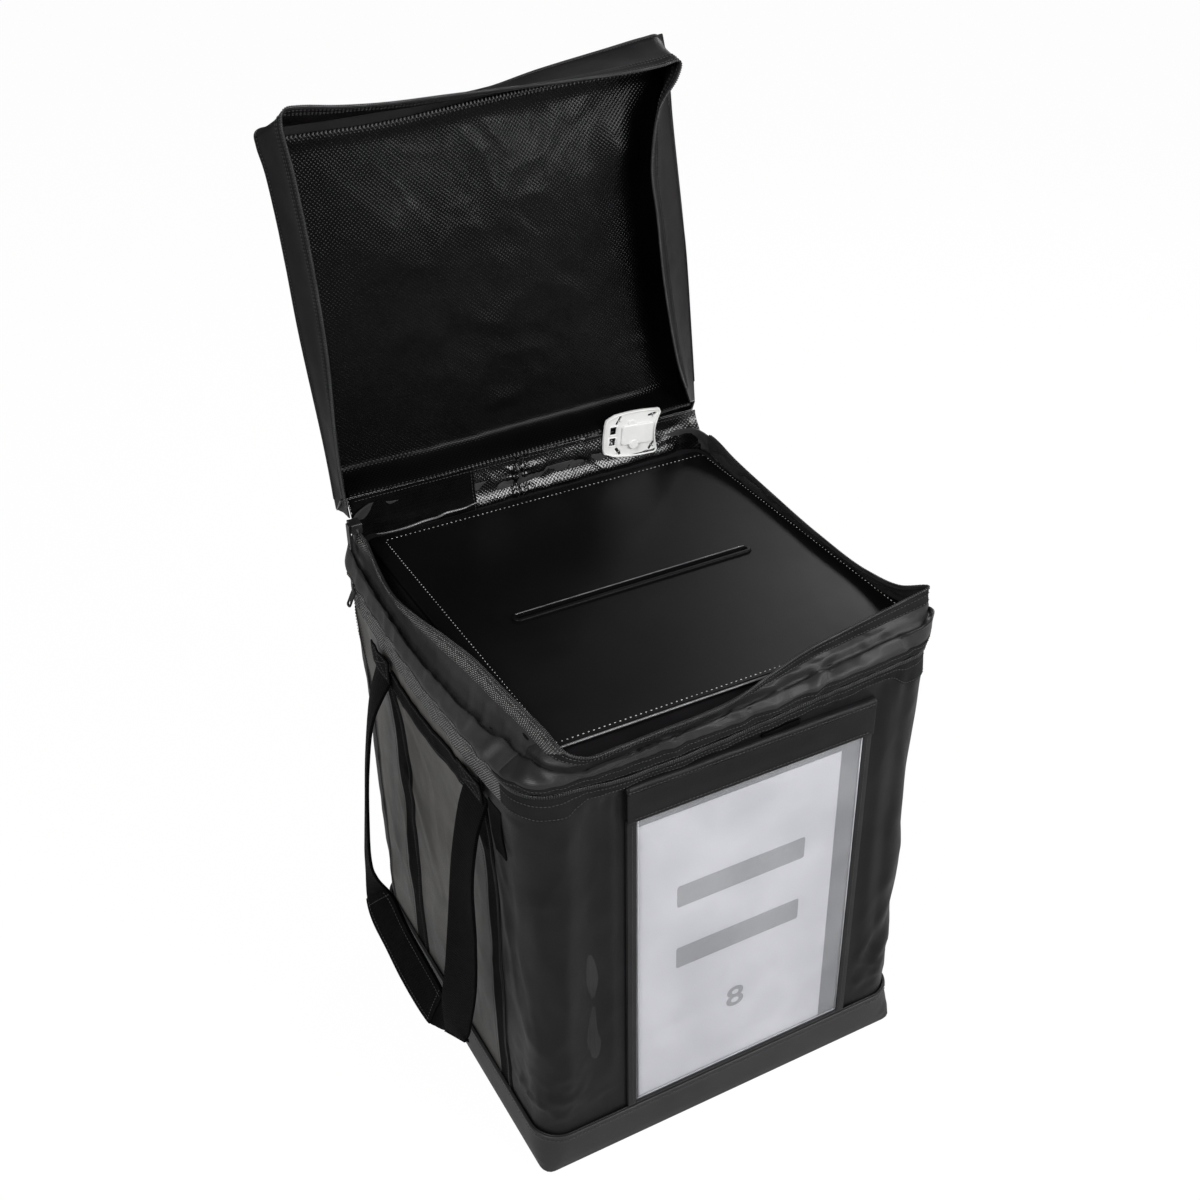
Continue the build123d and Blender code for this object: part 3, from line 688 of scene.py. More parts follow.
bodyWalls = dict(foot=20.0, top=zipHeight, step=2.6, rise=3.6, cloth=1.5)
sideSeamFront, sideSeamRear = -109.0, 147.0
wallPieces = [  # piece, from, to, material, slot, nodes
    ("frontWall", leftAt(sideSeamFront), rightAt(sideSeamFront), "coatedNylon", "coated_nylon", ["front_panel"]),
    # the side walls wear the cloth painted lighter, as a painted sheen
    ("leftWall", leftAt(sideSeamRear), leftAt(sideSeamFront), "paintedSheenSideCloth", "side_nylon", ["left_panel"]),
    ("rightWall", rightAt(sideSeamFront), rightAt(sideSeamRear), "paintedSheenSideCloth", "side_nylon", ["right_panel"]),
    ("rearWall", rightAt(sideSeamRear), aroundLength + leftAt(sideSeamRear), "coatedNylon", "coated_nylon",
     ["rear_panel"]),
]


def makeWalls():
    w = bodyWalls
    z = np.arange(w["foot"], w["top"] + 0.1, w["rise"])
    z = np.append(z[z < w["top"] - 1], w["top"])
    for name, start, end, material, slot, nodes in wallPieces:
        s = np.linspace(start, end, int((end - start) / w["step"]))
        clothSheet(name, wallPoint(s, z[:, None]), w["cloth"], material, "body", slot, nodes, -1)
    # the boards behind the cloth keep their shape from the model
    for node in ("front_board", "rear_board", "left_board", "right_board", "base_board"):
        paint(node, "stiffener")
    stitches, piping = [], []
    for s in (leftAt(sideSeamFront), rightAt(sideSeamFront), leftAt(sideSeamRear), rightAt(sideSeamRear)):
        z = np.arange(42, 396, 4.0)
        for shift in (-3.0, 3.0):
            stitches.append(stitchRow(wallPoint(s + shift, z, 0.15), wallNormal(s)))
        piping.append(tube(wallPoint(s, np.arange(40.5, 400, 5.0), 0.1), 0.8, 6))
    putParts("wallSeamStitches", stitches, "darkThread", "body", "coated_nylon")
    putParts("wallSeams", piping, "binding", "body", "coated_nylon")


# base tray: smooth vinyl pulled round a stiff board, with a folded and sewn upper hem
baseTray = dict(top=40.0, out=2.7, footRound=5.0, hem=3.2, corner=7.0, topCorner=23.0, around=480)


def trayOutline(radius):
    # the body's square outline with corners of another radius: x, y and the outward direction
    count, half, points, ways = baseTray["around"], halfSide, [], []
    side = 2 * (half - radius)
    total = 4 * side + 2 * np.pi * radius
    for k in range(count):
        d = k / count * total
        edge = int(d // (total / 4)) % 4
        d -= edge * total / 4
        turn = edge * np.pi / 2
        if d <= side:
            px, py, way = half, -half + radius + d, 0.0
        else:
            way = (d - side) / radius
            px, py = half - radius + radius * np.cos(way), half - radius + radius * np.sin(way)
        c, w = np.cos(turn), np.sin(turn)
        points.append((px * c - py * w, px * w + py * c))
        ways.append((np.cos(way + turn), np.sin(way + turn)))
    points, ways = np.array(points), np.array(ways)
    return points[:, 0], points[:, 1], ways[:, 0], ways[:, 1]


def makeTray():
    b = baseTray
    cols = b["around"]
    s = np.linspace(0, aroundLength, cols, endpoint=False)
    x, y, nx, ny = trayOutline(b["topCorner"])
    soft = wavy(55, 1.7, x, y)
    profile = [(-60.0, 0.0), (-20, 0.0), (-b["footRound"], 0.0), (-1.6, 0.9), (0.0, 3.6), (0.35, 12), (0.5, 22),
               (0.3, 32), (0.15, b["top"] - b["hem"]), (0.75, b["top"] - b["hem"] + 0.5), (0.8, b["top"] - 1.0),
               (0.3, b["top"]), (-1.6, b["top"]), (-2.2, b["top"] - 1.4), (-2.4, 20), (-2.4, 5.0), (-12, 2.2),
               (-60, 2.2)]
    rows = []
    for out, height in profile:        # the corners are tighter at the foot
        corner = b["corner"] + (b["topCorner"] - b["corner"]) * float(ease(height / (b["top"] - 4)))
        x, y, nx, ny = trayOutline(corner)
        sway = soft * 0.35 * ease(height / 12) * ease((b["top"] + 4 - height) / 12)
        gap = b["out"] + out + sway
        inward = np.minimum(gap, 0)
        rows.append(np.stack([x + nx * (gap - inward) + inward * x / halfSide,
                              y + ny * (gap - inward) + inward * y / halfSide, height + 0 * x], -1))
    grid = np.array(rows)
    count = len(profile)
    ends = [tuple(range(cols)), tuple((count - 1) * cols + c for c in range(cols - 1, -1, -1))]
    uv = np.stack([np.tile(s, count), np.repeat([p[1] for p in profile], cols)], -1)
    tray = putMesh("baseTray", grid.reshape(-1, 3), gridFaces(count, cols, True) + ends, "baseVinyl", "body",
                   "base_vinyl", True, uv, ["base_tray"])
    for p in tray.data.polygons[-2:]:
        p.use_smooth = False
    x, y, nx, ny = trayOutline(b["topCorner"])
    gap = b["out"] + 0.95
    line = np.stack([x + nx * gap, y + ny * gap, 0 * x + b["top"] - b["hem"] - 0.9], -1)
    stitches = stitchRow(line, np.stack([nx, ny, 0 * nx], -1), pitch=3.4, length=2.4)
    putParts("trayStitches", [stitches], "darkThread", "body", "base_vinyl")
    seam = tube(np.stack([x + nx * 1.3, y + ny * 1.3, 0 * x + b["top"] + 0.4], -1), 0.9, 6, True)
    putParts("traySeam", [seam], "binding", "body", "base_vinyl")


# webbing on the sides
webbing = dict(thick=1.7, lift=0.35)
sideStraps = [  # node ending, centre y at the top and at the foot, width, foot, top
    ("rear_strap", 73, 78, 26, 41, 366), ("front_strap", -100, -104, 24, 41, 366)]
crossStrap = dict(y=-14.0, half=70.0, height=364.5, sag=5.5, width=25.0, lift=0.45)
strapTail = dict(y=-130.5, top=372.0, long=45.0, width=21.0, lift=0.5, curl=3.2)


def sideSurface(side, y, z, lift):
    return wallPoint(leftAt(y) if side < 0 else rightAt(y), z, lift)


def sideRibbon(side, centres, widths, z, lift, columns=7):
    y = np.asarray(centres)[:, None] + np.asarray(widths)[:, None] * np.linspace(-0.5, 0.5, columns)[None, :]
    return sideSurface(side, y, np.asarray(z, float)[:, None], lift)


def webPiece(name, grid, flip, node=None, body="body", thick=webbing["thick"]):
    # a length of webbing; flip turns its grid over, so that its thickness goes outwards on either side of the box
    return clothSheet(name, grid[:, ::-1] if flip else grid, thick, "webbing", body, "webbing", [node] if node else ())


def makeSideWebbing():
    w = webbing
    for side, word in ((-1, "left"), (1, "right")):
        for ending, topY, footY, width, foot, top in sideStraps:
            z = np.linspace(foot, top, 90)
            drift = 2.2 * np.sin((z - 60) / 62.0) * (1 if ending == "front_strap" else 0.8)
            y = topY + (footY - topY) * (top - z) / (top - foot) + drift
            pinch = width * (1 - 0.10 * ridge(z, 190, 40) - 0.12 * ridge(z, 95, 30))
            name = word + ("RearStrap" if ending == "rear_strap" else "FrontStrap")
            webPiece(name, sideRibbon(side, y, pinch, z, w["lift"]), side > 0, word + "_" + ending)
            rows = [stitchRow(sideSurface(side, y + pinch * share, z, w["lift"] + w["thick"]), (side, 0, 0))
                    for share in (-0.42, 0.42)]
            putParts(name + "Stitches", rows, "darkThread", "body", "webbing")
        # cross strap under the zip: sags a little and is pulled tight at its ends
        t, c = np.linspace(1, -1, 46), crossStrap
        y = c["y"] + c["half"] * t
        middle = c["height"] - c["sag"] * (1 - t ** 2) + 1.2 * np.sin(y / 11)
        across = np.linspace(-0.5, 0.5, 7) * c["width"]
        webPiece(word + "TopStrap", sideSurface(side, y[:, None], middle[:, None] + across, c["lift"]), side < 0,
                 word + "_top_strap")
        lift = c["lift"] + w["thick"]
        rows = [stitchRow(sideSurface(side, y, middle + rise, lift), (side, 0, 0)) for rise in (-9, 9)]
        putParts(word + "TopStrapStitches", rows, "darkThread", "body", "webbing")
        # short tail at the front corner, cut slantwise and curling off the wall
        fall, c = np.linspace(0, 1, 24), strapTail
        y = c["y"] - 5 * fall + 2 * np.sin(fall * 4)
        grid = sideRibbon(side, y, c["width"] * (1 - 0.25 * fall), c["top"] - c["long"] * fall, c["lift"])
        grid[..., 0] += side * (c["curl"] * fall ** 1.6)[:, None]
        webPiece(word + "StrapTail", grid, side < 0, word + "_strap_tail")


# carry handles
handleShape = dict(thick=2.6, width=37.0, columns=9, gripThick=1.6, anchors=(73, -100), anchorThick=1.4)
# centre line of the strap and the way its width lies, from the rear anchor round to the front one; left side
handleRoute = [  # x, y, z, width direction (x, y, z); 13 to 15 are the flat fold under the front leg
    (-178.6, 72, 384, (0.0, 1.0, 0.0)),
    (-179.2, 73, 372, (0.05, 1.0, 0.0)),
    (-186, 78, 352, (0.18, 0.98, 0.0)),
    (-196, 84, 318, (0.32, 0.95, 0.0)),
    (-203, 88, 268, (0.34, 0.94, 0.0)),
    (-208, 90, 215, (0.32, 0.95, 0.0)),
    (-212, 90, 168, (0.25, 0.97, -0.02)),
    (-213.5, 84, 143, (0.05, 0.98, -0.14)),
    (-213.5, 66, 122, (-0.38, 0.82, -0.42)),
    (-212.5, 34, 108, (-0.42, 0.46, -0.78)),
    (-211.5, 4, 99, (-0.44, 0.36, -0.82)),
    (-210, -30, 93, (-0.40, 0.38, -0.83)),
    (-208.5, -56, 91, (-0.26, 0.50, -0.83)),
    (-206.6, -82, 95, (-0.06, 0.98, -0.58)),
    (-208.6, -82.3, 93.6, (-0.06, 0.98, -0.58)),
    (-210.8, -82, 95, (-0.06, 0.98, -0.58)),
    (-210.4, -87, 126, (-0.22, 0.97, 0.0)),
    (-207, -96, 175, (-0.26, 0.97, 0.0)),
    (-203.5, -99, 230, (-0.16, 0.98, 0.0)),
    (-199, -97, 285, (0.0, 1.0, 0.0)),
    (-191, -96, 330, (0.04, 1.0, 0.0)),
    (-184, -98, 356, (0.02, 1.0, 0.0)),
    (-179.4, -100, 373, (0.0, 1.0, 0.0)),
    (-178.6, -100, 384, (0.0, 1.0, 0.0)),
]


def handleGrid(first, last, count, lift=0.0, narrow=1.0):
    at = np.linspace(first, last, count)
    found = throughKeys([[i, *row[:3], *row[3]] for i, row in enumerate(handleRoute)], at)
    centre, across = found[:, :3], found[:, 3:6]
    ahead = unit(np.gradient(centre, axis=0))
    free = (1 - ease((at - 11.3) / 0.8) * ease((16.0 - at) / 0.8))[:, None]
    across -= ahead * (across * ahead).sum(1, keepdims=True) * free
    across /= np.linalg.norm(across, axis=1, keepdims=True) ** free
    face = unit(np.cross(ahead, across))
    shares = np.linspace(-0.5, 0.5, handleShape["columns"])
    width = handleShape["width"] * narrow
    return (centre[:, None] + across[:, None] * (shares * width)[:, None]
            + face[:, None] * (lift + 0.8 * (shares ** 2 * 4 - 1)[None, :] * free)[..., None])


def mirrored(grid):
    return grid[:, ::-1] * np.array([-1, 1, 1])


def makeHandles():
    h = handleShape
    for side, word in ((-1, "left"), (1, "right")):
        grid = handleGrid(1.0, len(handleRoute) - 2.0, 220)
        ply = handleGrid(7.7, 11.6, 60, -h["thick"] * 0.5 - 0.9, 1.02)
        if side > 0:
            grid, ply = mirrored(grid), mirrored(ply)
        loop = word + "_handle"
        strap = webPiece(word + "Handle", grid, False, loop, None, h["thick"])
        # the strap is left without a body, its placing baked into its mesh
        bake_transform(strap)
        webPiece(word + "Grip", ply, False, word + "_grip", loop, h["gripThick"])
        n = gridNormals(ply)
        top = ply + n * (h["gripThick"] + 0.15)
        rows = [stitchRow(top[:, c], n[:, c]) for c in (1, 7)] + [stitchRow(top[r], n[r]) for r in (3, 56)]
        putParts(word + "GripStitches", rows, "darkThread", loop, "webbing")
        # anchors: a folded piece over each end, with a boxed cross of stitches
        rows, z, t = [], np.linspace(362, 387, 16), np.linspace(0, 1, 12)
        for y, end, node in zip(h["anchors"], ("Rear", "Front"), (word + "_handle_anchors", None)):
            lift = 1.9 + webbing["thick"]
            webPiece(word + "Anchor" + end, sideRibbon(side, np.full(16, y), 38 + 0 * z, z, lift, 9), side < 0, node,
                     thick=h["anchorThick"])
            corners = np.array([(y - 15, 365), (y + 15, 365), (y + 15, 384), (y - 15, 384)])
            for a, b in ((0, 1), (1, 2), (2, 3), (3, 0), (0, 2), (1, 3)):
                line = corners[a][:, None] + (corners[b] - corners[a])[:, None] * t
                rows.append(stitchRow(sideSurface(side, *line, lift + h["anchorThick"]), (side, 0, 0)))
        putParts(word + "AnchorStitches", rows, "darkThread", "body", "webbing")


# card pocket
pocket = dict(left=-99.0, right=119.0, foot=42.0, top=353.0, edge=9.0, sill=4.0, back=-175.0, clear=-176.15,
              binding=-177.0, thread=-178.05)
card = dict(left=-89, right=93, foot=46.4, top=343, y=-175.3, thick=0.4)
cardPrint = dict(bars=((-54, 64, 246, 268), (-54, 62, 180, 202)), back=-175.78, face=-175.92, size=31,
                 place=(4, -175.84, 108))
flap = dict(foot=353, top=380, y=-178.35, thick=1.5, thread=(-180.4, 356.5))
outward = (0, -1, 0)           # the way that the front faces


def pocketSheet(name, x0, x1, z0, z1, y, wave, thickness, material, body, slot, nodes, seed, nx=60, nz=90):
    x, z = np.meshgrid(np.linspace(x0, x1, nx), np.linspace(z0, z1, nz))
    tx, tz = (x - x0) / (x1 - x0), (z - z0) / (z1 - z0)
    inner = ease(np.minimum(tx, 1 - tx) * (x1 - x0) / 14) * ease(np.minimum(tz, 1 - tz) * (z1 - z0) / 14)
    out = wave * (0.5 + 0.5 * wavy(48, seed, x, z * 0.8)) * inner
    clothSheet(name, np.stack([x, y - out, z], -1), thickness, material, body, slot, nodes, 1)


def frameStrips(name, y, width, sill, thickness, node):
    # edging down both sides of the pocket and along its foot
    parts = []
    x0, x1, z0, z1 = (pocket[k] for k in ("left", "right", "foot", "top"))
    for a, b, c, d in ((x0, x0 + width, z0, z1), (x1 - width, x1, z0, z1), (x0 + width, x1 - width, z0, z0 + sill)):
        nx, nz = max(3, int((b - a) / 3)), max(3, int((d - c) / 4))
        x, z = np.meshgrid(np.linspace(a, b, nx), np.linspace(c, d, nz))
        bend = 0.35 * wavy(26, 4.4, x, z)
        parts.append(skinned(np.stack([x, y - thickness + bend * 0.4, z], -1), np.stack([x, y + 0 * x, z], -1), -1))
    verts, faces = gather(parts)
    obj = putMesh(name, verts, faces, "binding", "body", "binding", True, verts[:, [0, 2]], [node])
    softEdge(obj, 0.3, math.radians(30))


def makePocket():
    p = pocket
    frameStrips("pocketSpacer", p["back"], p["edge"], p["sill"], 1.1, "pocket_spacer")
    pocketSheet("cardWindow", p["left"] + 1.5, p["right"] - 1.5, p["foot"] + 1, p["top"], p["clear"], 0.8, 0.7,
                "clearVinyl", "body", "clear_vinyl", ["window"], 2.7)
    frameStrips("windowBinding", p["binding"], p["edge"] - 1.2, p["sill"] - 0.6, 0.95, "window_binding")
    # welded edge of the clear sheet, just inside the binding; its pale colour is a painted highlight along the edge
    a, b, low, high = p["left"] + 9.4, p["right"] - 8.6, p["foot"] + 5.2, p["top"] - 1.0
    middle = (low + high) / 2
    y = p["binding"] - 0.1
    edge = [tube([(x0, y, z0), (x1, y - 0.1, z1), (x2, y, low)], 0.55, 6)
            for x0, z0, x1, z1, x2 in ((a, high, a, middle, a + 0.3), (b, high, b, middle, b - 0.3),
                                       (a, low, (a + b) / 2, low + 0.4, b))]
    putParts("windowHighlightEdge", edge, "vinylEdge", "body", "clear_vinyl")
    lines = [[(x, p["thread"], z) for z in np.linspace(p["foot"] + 3, p["top"] - 4, 60)]
             for x in (p["left"] + 4.2, p["right"] - 4.2)]
    lines.append([(x, p["thread"], p["foot"] + 1.9) for x in np.linspace(p["left"] + 4, p["right"] - 4, 50)])
    rows = [stitchRow(line, outward) for line in lines]
    putParts("bindingStitches", rows, "darkThread", "body", "binding")

    # the card, and a generic print on it: two plain bars and a numeral
    c = card
    pocketSheet("pocketCard", c["left"], c["right"], c["foot"], c["top"], c["y"], 0.04, c["thick"], "paper", "card",
                "paper", ["card"], 6.6, 40, 60)
    marks = [slab(*bar, cardPrint["face"], cardPrint["back"], 2.0) for bar in cardPrint["bars"]]
    putParts("cardBars", marks, "printInk", "card", "paper", False)
    text = bpy.data.curves.new("cardNumeral", "FONT")
    text.body, text.size, text.align_x = "8", cardPrint["size"] * mm, "CENTER"
    text.extrude, text.offset = 0.06 * mm, 0.5 * mm
    obj = addObject("cardNumeral", text)
    obj.location, obj.rotation_euler = Vector(cardPrint["place"]) * mm, (math.pi / 2, 0, 0)
    obj.scale = (1.15, 1, 1)
    dress(meshOf(obj, "cardNumber", "printInk"), "card")

    # cover flap with its sewn head, and the little tab above
    f = flap
    pocketSheet("pocketFlap", p["left"] - 0.5, p["right"] + 0.5, f["foot"], f["top"], f["y"], 0.9, f["thick"],
                "coatedNylon", "flap", "coated_nylon", ["pocket_flap"], 1.9, 90, 16)
    row = stitchRow([(x, *f["thread"]) for x in np.linspace(p["left"] + 5, p["right"] - 5, 60)], outward)
    putParts("flapStitches", [row], "darkThread", "flap", "coated_nylon")
    x = np.linspace(p["left"] - 0.5, p["right"] + 0.5, 90)
    profile = [(-175.0, 386.5), (-176.6, 386.3), (-178.8, 385.2), (-179.9, 383), (-180.0, 380.6), (-178.6, 380.3),
               (-175.2, 380.4)]
    sway = wavy(30, 9.1, x) * 0.5
    grid = np.array([np.stack([x, y + 0.3 * sway, z + sway], -1) for y, z in profile])
    rows, cols = grid.shape[:2]
    ends = [tuple(r * cols for r in range(rows)), tuple(r * cols + cols - 1 for r in range(rows - 1, -1, -1))]
    putMesh("flapSeam", grid.reshape(-1, 3), gridFaces(rows, cols) + ends, "coatedNylon", "body", "coated_nylon", True,
            grid[..., [0, 2]].reshape(-1, 2), ["flap_seam"])
    row = stitchRow(np.stack([x, 0 * x - 180.2, 0 * x + 382.3], -1), outward)
    putParts("flapSeamStitches", [row], "darkThread", "body", "coated_nylon")
    x = np.linspace(16, 50, 14)
    z = np.array([389.3, 391.5, 394, 396.5])
    webPiece("pocketTab", wallPoint(frontAt(x), z[:, None], 0.5), False, "pocket_tab", thick=1.4)


def slab(x0, x1, z0, z1, y0, y1, corner):
    # a thin plate with rounded corners, facing the front
    loop = roundedLoop((x0 + x1) / 2, (z0 + z1) / 2, (x1 - x0) / 2, (z1 - z0) / 2, corner, 4)
    n = len(loop)
    faces = [tuple(range(n)), tuple(range(n, 2 * n))[::-1]]
    faces += [(i, i + n, (i + 1) % n + n, (i + 1) % n) for i in range(n)]
    return np.array([(x, y, z) for y in (y0, y1) for x, z in loop]), faces


makeWalls()
makeTray()
makeSideWebbing()
makeHandles()
makePocket()
print("stage: body, base, webbing, handles and pocket")


# deck: soft collar round the slot board
collarTops = [  # distance along the outline; top edge x, y, z; fold out, height; groove out, height
    (0, 0, 172.6, 452, 2.5, 425, 0.0, 436),
    (straight - 20, -131, 172.6, 458, 3.0, 424, 0.0, 437),
    (straight + 8, -152, 171.5, 461, 4.5, 423, 0.5, 438),
    (leftStart - quarter * 0.45, -167, 163, 459, 7.0, 421, 0.5, 437),
    (leftAt(133), -169, 135, 446, 10.0, 418, 0.5, 431),
    (leftAt(98), -174, 98, 441, 12.0, 416.5, 2.0, 428),
    (leftAt(55), -177.5, 55, 440.5, 14.0, 415.5, 3.5, 426),
    (leftAt(20), -172, 18, 441, 15.0, 415, 5.0, 425.5),
    (leftAt(-18), -164, -20, 441.5, 15.5, 414.5, 4.5, 425),
    (leftAt(-55), -158, -55, 441.5, 15.5, 414.5, 2.5, 425),
    (leftAt(-100), -154.5, -104, 441, 14.5, 415, -1.5, 425.5),
    (leftAt(-140), -150, -150, 439.5, 12.5, 416, -7.0, 427),
    (frontLeft, -146.5, -178, 436, 10.5, 418.5, -6.5, 428),
    (frontAt(-148), -136, -186, 433.5, 12.0, 420, 8.0, 426),
    (frontAt(-110), -108, -186.8, 433, 12.5, 419, 9.5, 425),
    (frontAt(-75), -76, -186.2, 434, 12.0, 420, 8.5, 426),
    (frontAt(-42), -44, -185.6, 434.5, 12.0, 420, 7.5, 427),
    (frontAt(-12), -14, -182.4, 435, 11.5, 421, 6.0, 428),
    (frontAt(24), 24, -171.5, 437, 11.0, 422, 3.5, 429),
    (frontAt(65), 66, -161.5, 440, 10.5, 424, 0.0, 431),
    (frontAt(95), 96, -160, 444, 9.5, 426, -0.5, 434),
    (frontAt(122), 121, -161.5, 450, 8.5, 427, 0.5, 438),
    (frontAt(148), 148, -164.5, 457.5, 7.5, 428, 1.0, 441),
    (frontRight, 168.5, -166.5, 464, 5.5, 428, 2.5, 444),
    (rightAt(-141), 164, -141, 452, 7.0, 426, -0.5, 437),
    (rightAt(-100), 164.5, -100, 442.5, 8.0, 424, -1.5, 431),
    (rightAt(-30), 165, -30, 441, 8.5, 422, -1.5, 430),
    (rightAt(40), 168.5, 40, 442, 8.5, 422, -1.0, 431),
    (rightAt(110), 171, 110, 446, 6.0, 423, -1.0, 434),
    (rightAt(147), 170.5, 147, 452, 3.5, 425, -0.5, 437),
    (rearStart - quarter * 0.5, 164, 165, 455, 2.5, 425, 0.0, 438),
    (rearStart + 14, 137, 172.6, 453, 2.5, 425, 0.0, 437),
    (rearStart + 90, 61, 172.6, 452, 2.5, 425, 0.0, 436)]
collarRows = dict(places=(0, 0.14, 0.28, 0.43, 0.52, 0.59, 0.66, 1.0), fold=0.028, pit=4.6, leftPit=6.0, step=2.2)
collarFolds = dict(soft=0.5, fine=0.45, tape=0.35, crumple=1.35)
collarCreases = [  # distance along the outline, slant, height, depth of the dip beside it
    (frontAt(-70), 26, 1.7, 0.6), (frontAt(60), -30, 2.4, 0.6), (frontAt(-10), 18, 1.1, 0.6),
    (frontAt(128), 34, 1.2, 0.6), (frontAt(22), -24, 1.0, 0.6), (leftAt(118), 20, 0.9, 0.5),
    (leftAt(-128), -34, 1.8, 0.5), (leftAt(-60), 26, 0.6, 0.5), (leftAt(30), -16, 0.5, 0.5)]


def collarControls(s):
    s = np.asarray(s, float)
    keys = throughKeys(collarTops, np.mod(s, aroundLength), aroundLength)
    x, y, nx, ny = outline(s)
    zero = np.zeros_like(nx)
    normal = np.stack([nx, ny, zero], -1)
    base = np.stack([x, y, zero], -1)
    out, height = zipAt(s)
    c = collarRows

    def at(distance, level):
        row = base + normal * np.asarray(distance)[..., None]
        row[..., 2] = level
        return row
    top = keys[..., :3]
    foldOut, foldZ, grooveOut, grooveZ = (keys[..., k] for k in range(3, 7))
    foot = at(out + 0.4, height + 3.4)
    tape = at(out * 0.45 + foldOut * 0.55 + 0.4, height * 0.5 + foldZ * 0.5 - 0.4)
    fold = at(foldOut, foldZ)
    left = ease((np.mod(s, aroundLength) - leftStart) / 25) * ease((frontStart - quarter - s) / 40)
    pit = c["pit"] + c["leftPit"] * left
    lean = ((top - base) * normal).sum(-1)
    crest = at(grooveOut + 2.8 + 2.2 * left, grooveZ - 0.6)
    pitOut = at(grooveOut + 1.6, grooveZ - pit)
    pitIn = at(grooveOut - 2.4 - 1.6 * left, grooveZ - pit)
    band = at(grooveOut * 0.84 + lean * 0.16 - 1.8 - 3.4 * left, grooveZ + 2.2)
    return np.stack([foot, tape, fold, crest, pitOut, pitIn, band, top], -2)


def collarBase(s, v):
    # s and v are arrays of one shape; v runs from the lower zip (0) to the top edge (1)
    # the flat stretches between them meet in small rounded folds
    controls = collarControls(s)
    places = np.array(collarRows["places"])
    v, near = np.asarray(v, float), np.linspace(-1, 1, 7) * collarRows["fold"]
    spread = np.clip(v[..., None] + near * np.minimum(1, np.minimum(v, 1 - v)[..., None] / 0.04), 0, 1)
    weights = np.stack([np.interp(spread, places, row).mean(-1) for row in np.eye(len(places))], -1)
    return (controls * weights[..., None]).sum(-2)


def collarPoint(s, v, lift=0.0):
    # a point of the folded collar, lifted off it by so much, and the cloth's direction there
    s, v = np.broadcast_arrays(np.asarray(s, float), np.asarray(v, float))
    p = collarBase(s, v)
    step = 0.6
    alongS = collarBase(s + step, v) - collarBase(s - step, v)
    alongV = collarBase(s, np.minimum(v + 0.012, 1)) - collarBase(s, np.maximum(v - 0.012, 0))
    n = unit(np.cross(alongS, alongV))
    f = collarFolds
    middle = within(v, 0.22, 1.0, 0.25)
    s0 = np.mod(s, aroundLength)
    bend = f["soft"] * wavy(34, 12.5, s0, v * 42) * middle
    bend += f["fine"] * wavy(13, 3.3, s0 + v * 30, v * 60) * within(v, 0.15, 0.9, 0.2)
    bend += f["tape"] * wavy(7.5, 7.7, s0, v * 20) * ridge(v, 0.1, 0.12)
    bend += f["tape"] * wavy(9.0, 1.7, s0, v * 20) * ridge(v, 0.83, 0.1)
    bend += f["crumple"] * (crumple(26, 4.8, s0 + v * 40, v * 55) - 0.35) * middle
    # crushed corner at the front left, creased peaks along the front
    corner = s0 - frontLeft
    bend += 1.8 * ridge(corner, 8, 22) * (np.abs(np.sin(corner / 6.4 + v * 5)) - 0.5) * within(v, 0.2, 0.75, 0.2)
    for place, slope, high, dip in collarCreases:
        off = s0 - place + slope * (v - 0.35)
        peak = np.clip(1 - np.abs(off) / 9, 0, 1) - dip * ridge(off, 11, 7)
        bend += high * peak * within(v, 0.15, 0.72, 0.2)
    return p + n * (lift + bend)[..., None], n


collarPieces = [  # piece, from, to, node
    ("collarFront", frontStart - quarter, rightStart, "collar_front"),
    ("collarLeft", leftStart, frontStart - quarter, "collar_left"),
    ("collarRight", rightStart, rearStart - quarter, "collar_right"),
    ("collarRear", rearStart - quarter, aroundLength + leftStart, "collar_rear")]


def collarGrid(start, end, low, high, lift=0.0, rows=40):
    s, v = np.linspace(start, end, int((end - start) / collarRows["step"])), np.linspace(low, high, rows)
    return collarPoint(*np.meshgrid(s, v), lift)[0]


zipBegin, zipEnd = leftAt(sideSeamRear), rightAt(sideSeamRear)
tapeThread = dict(pitch=2.9, length=2.0)


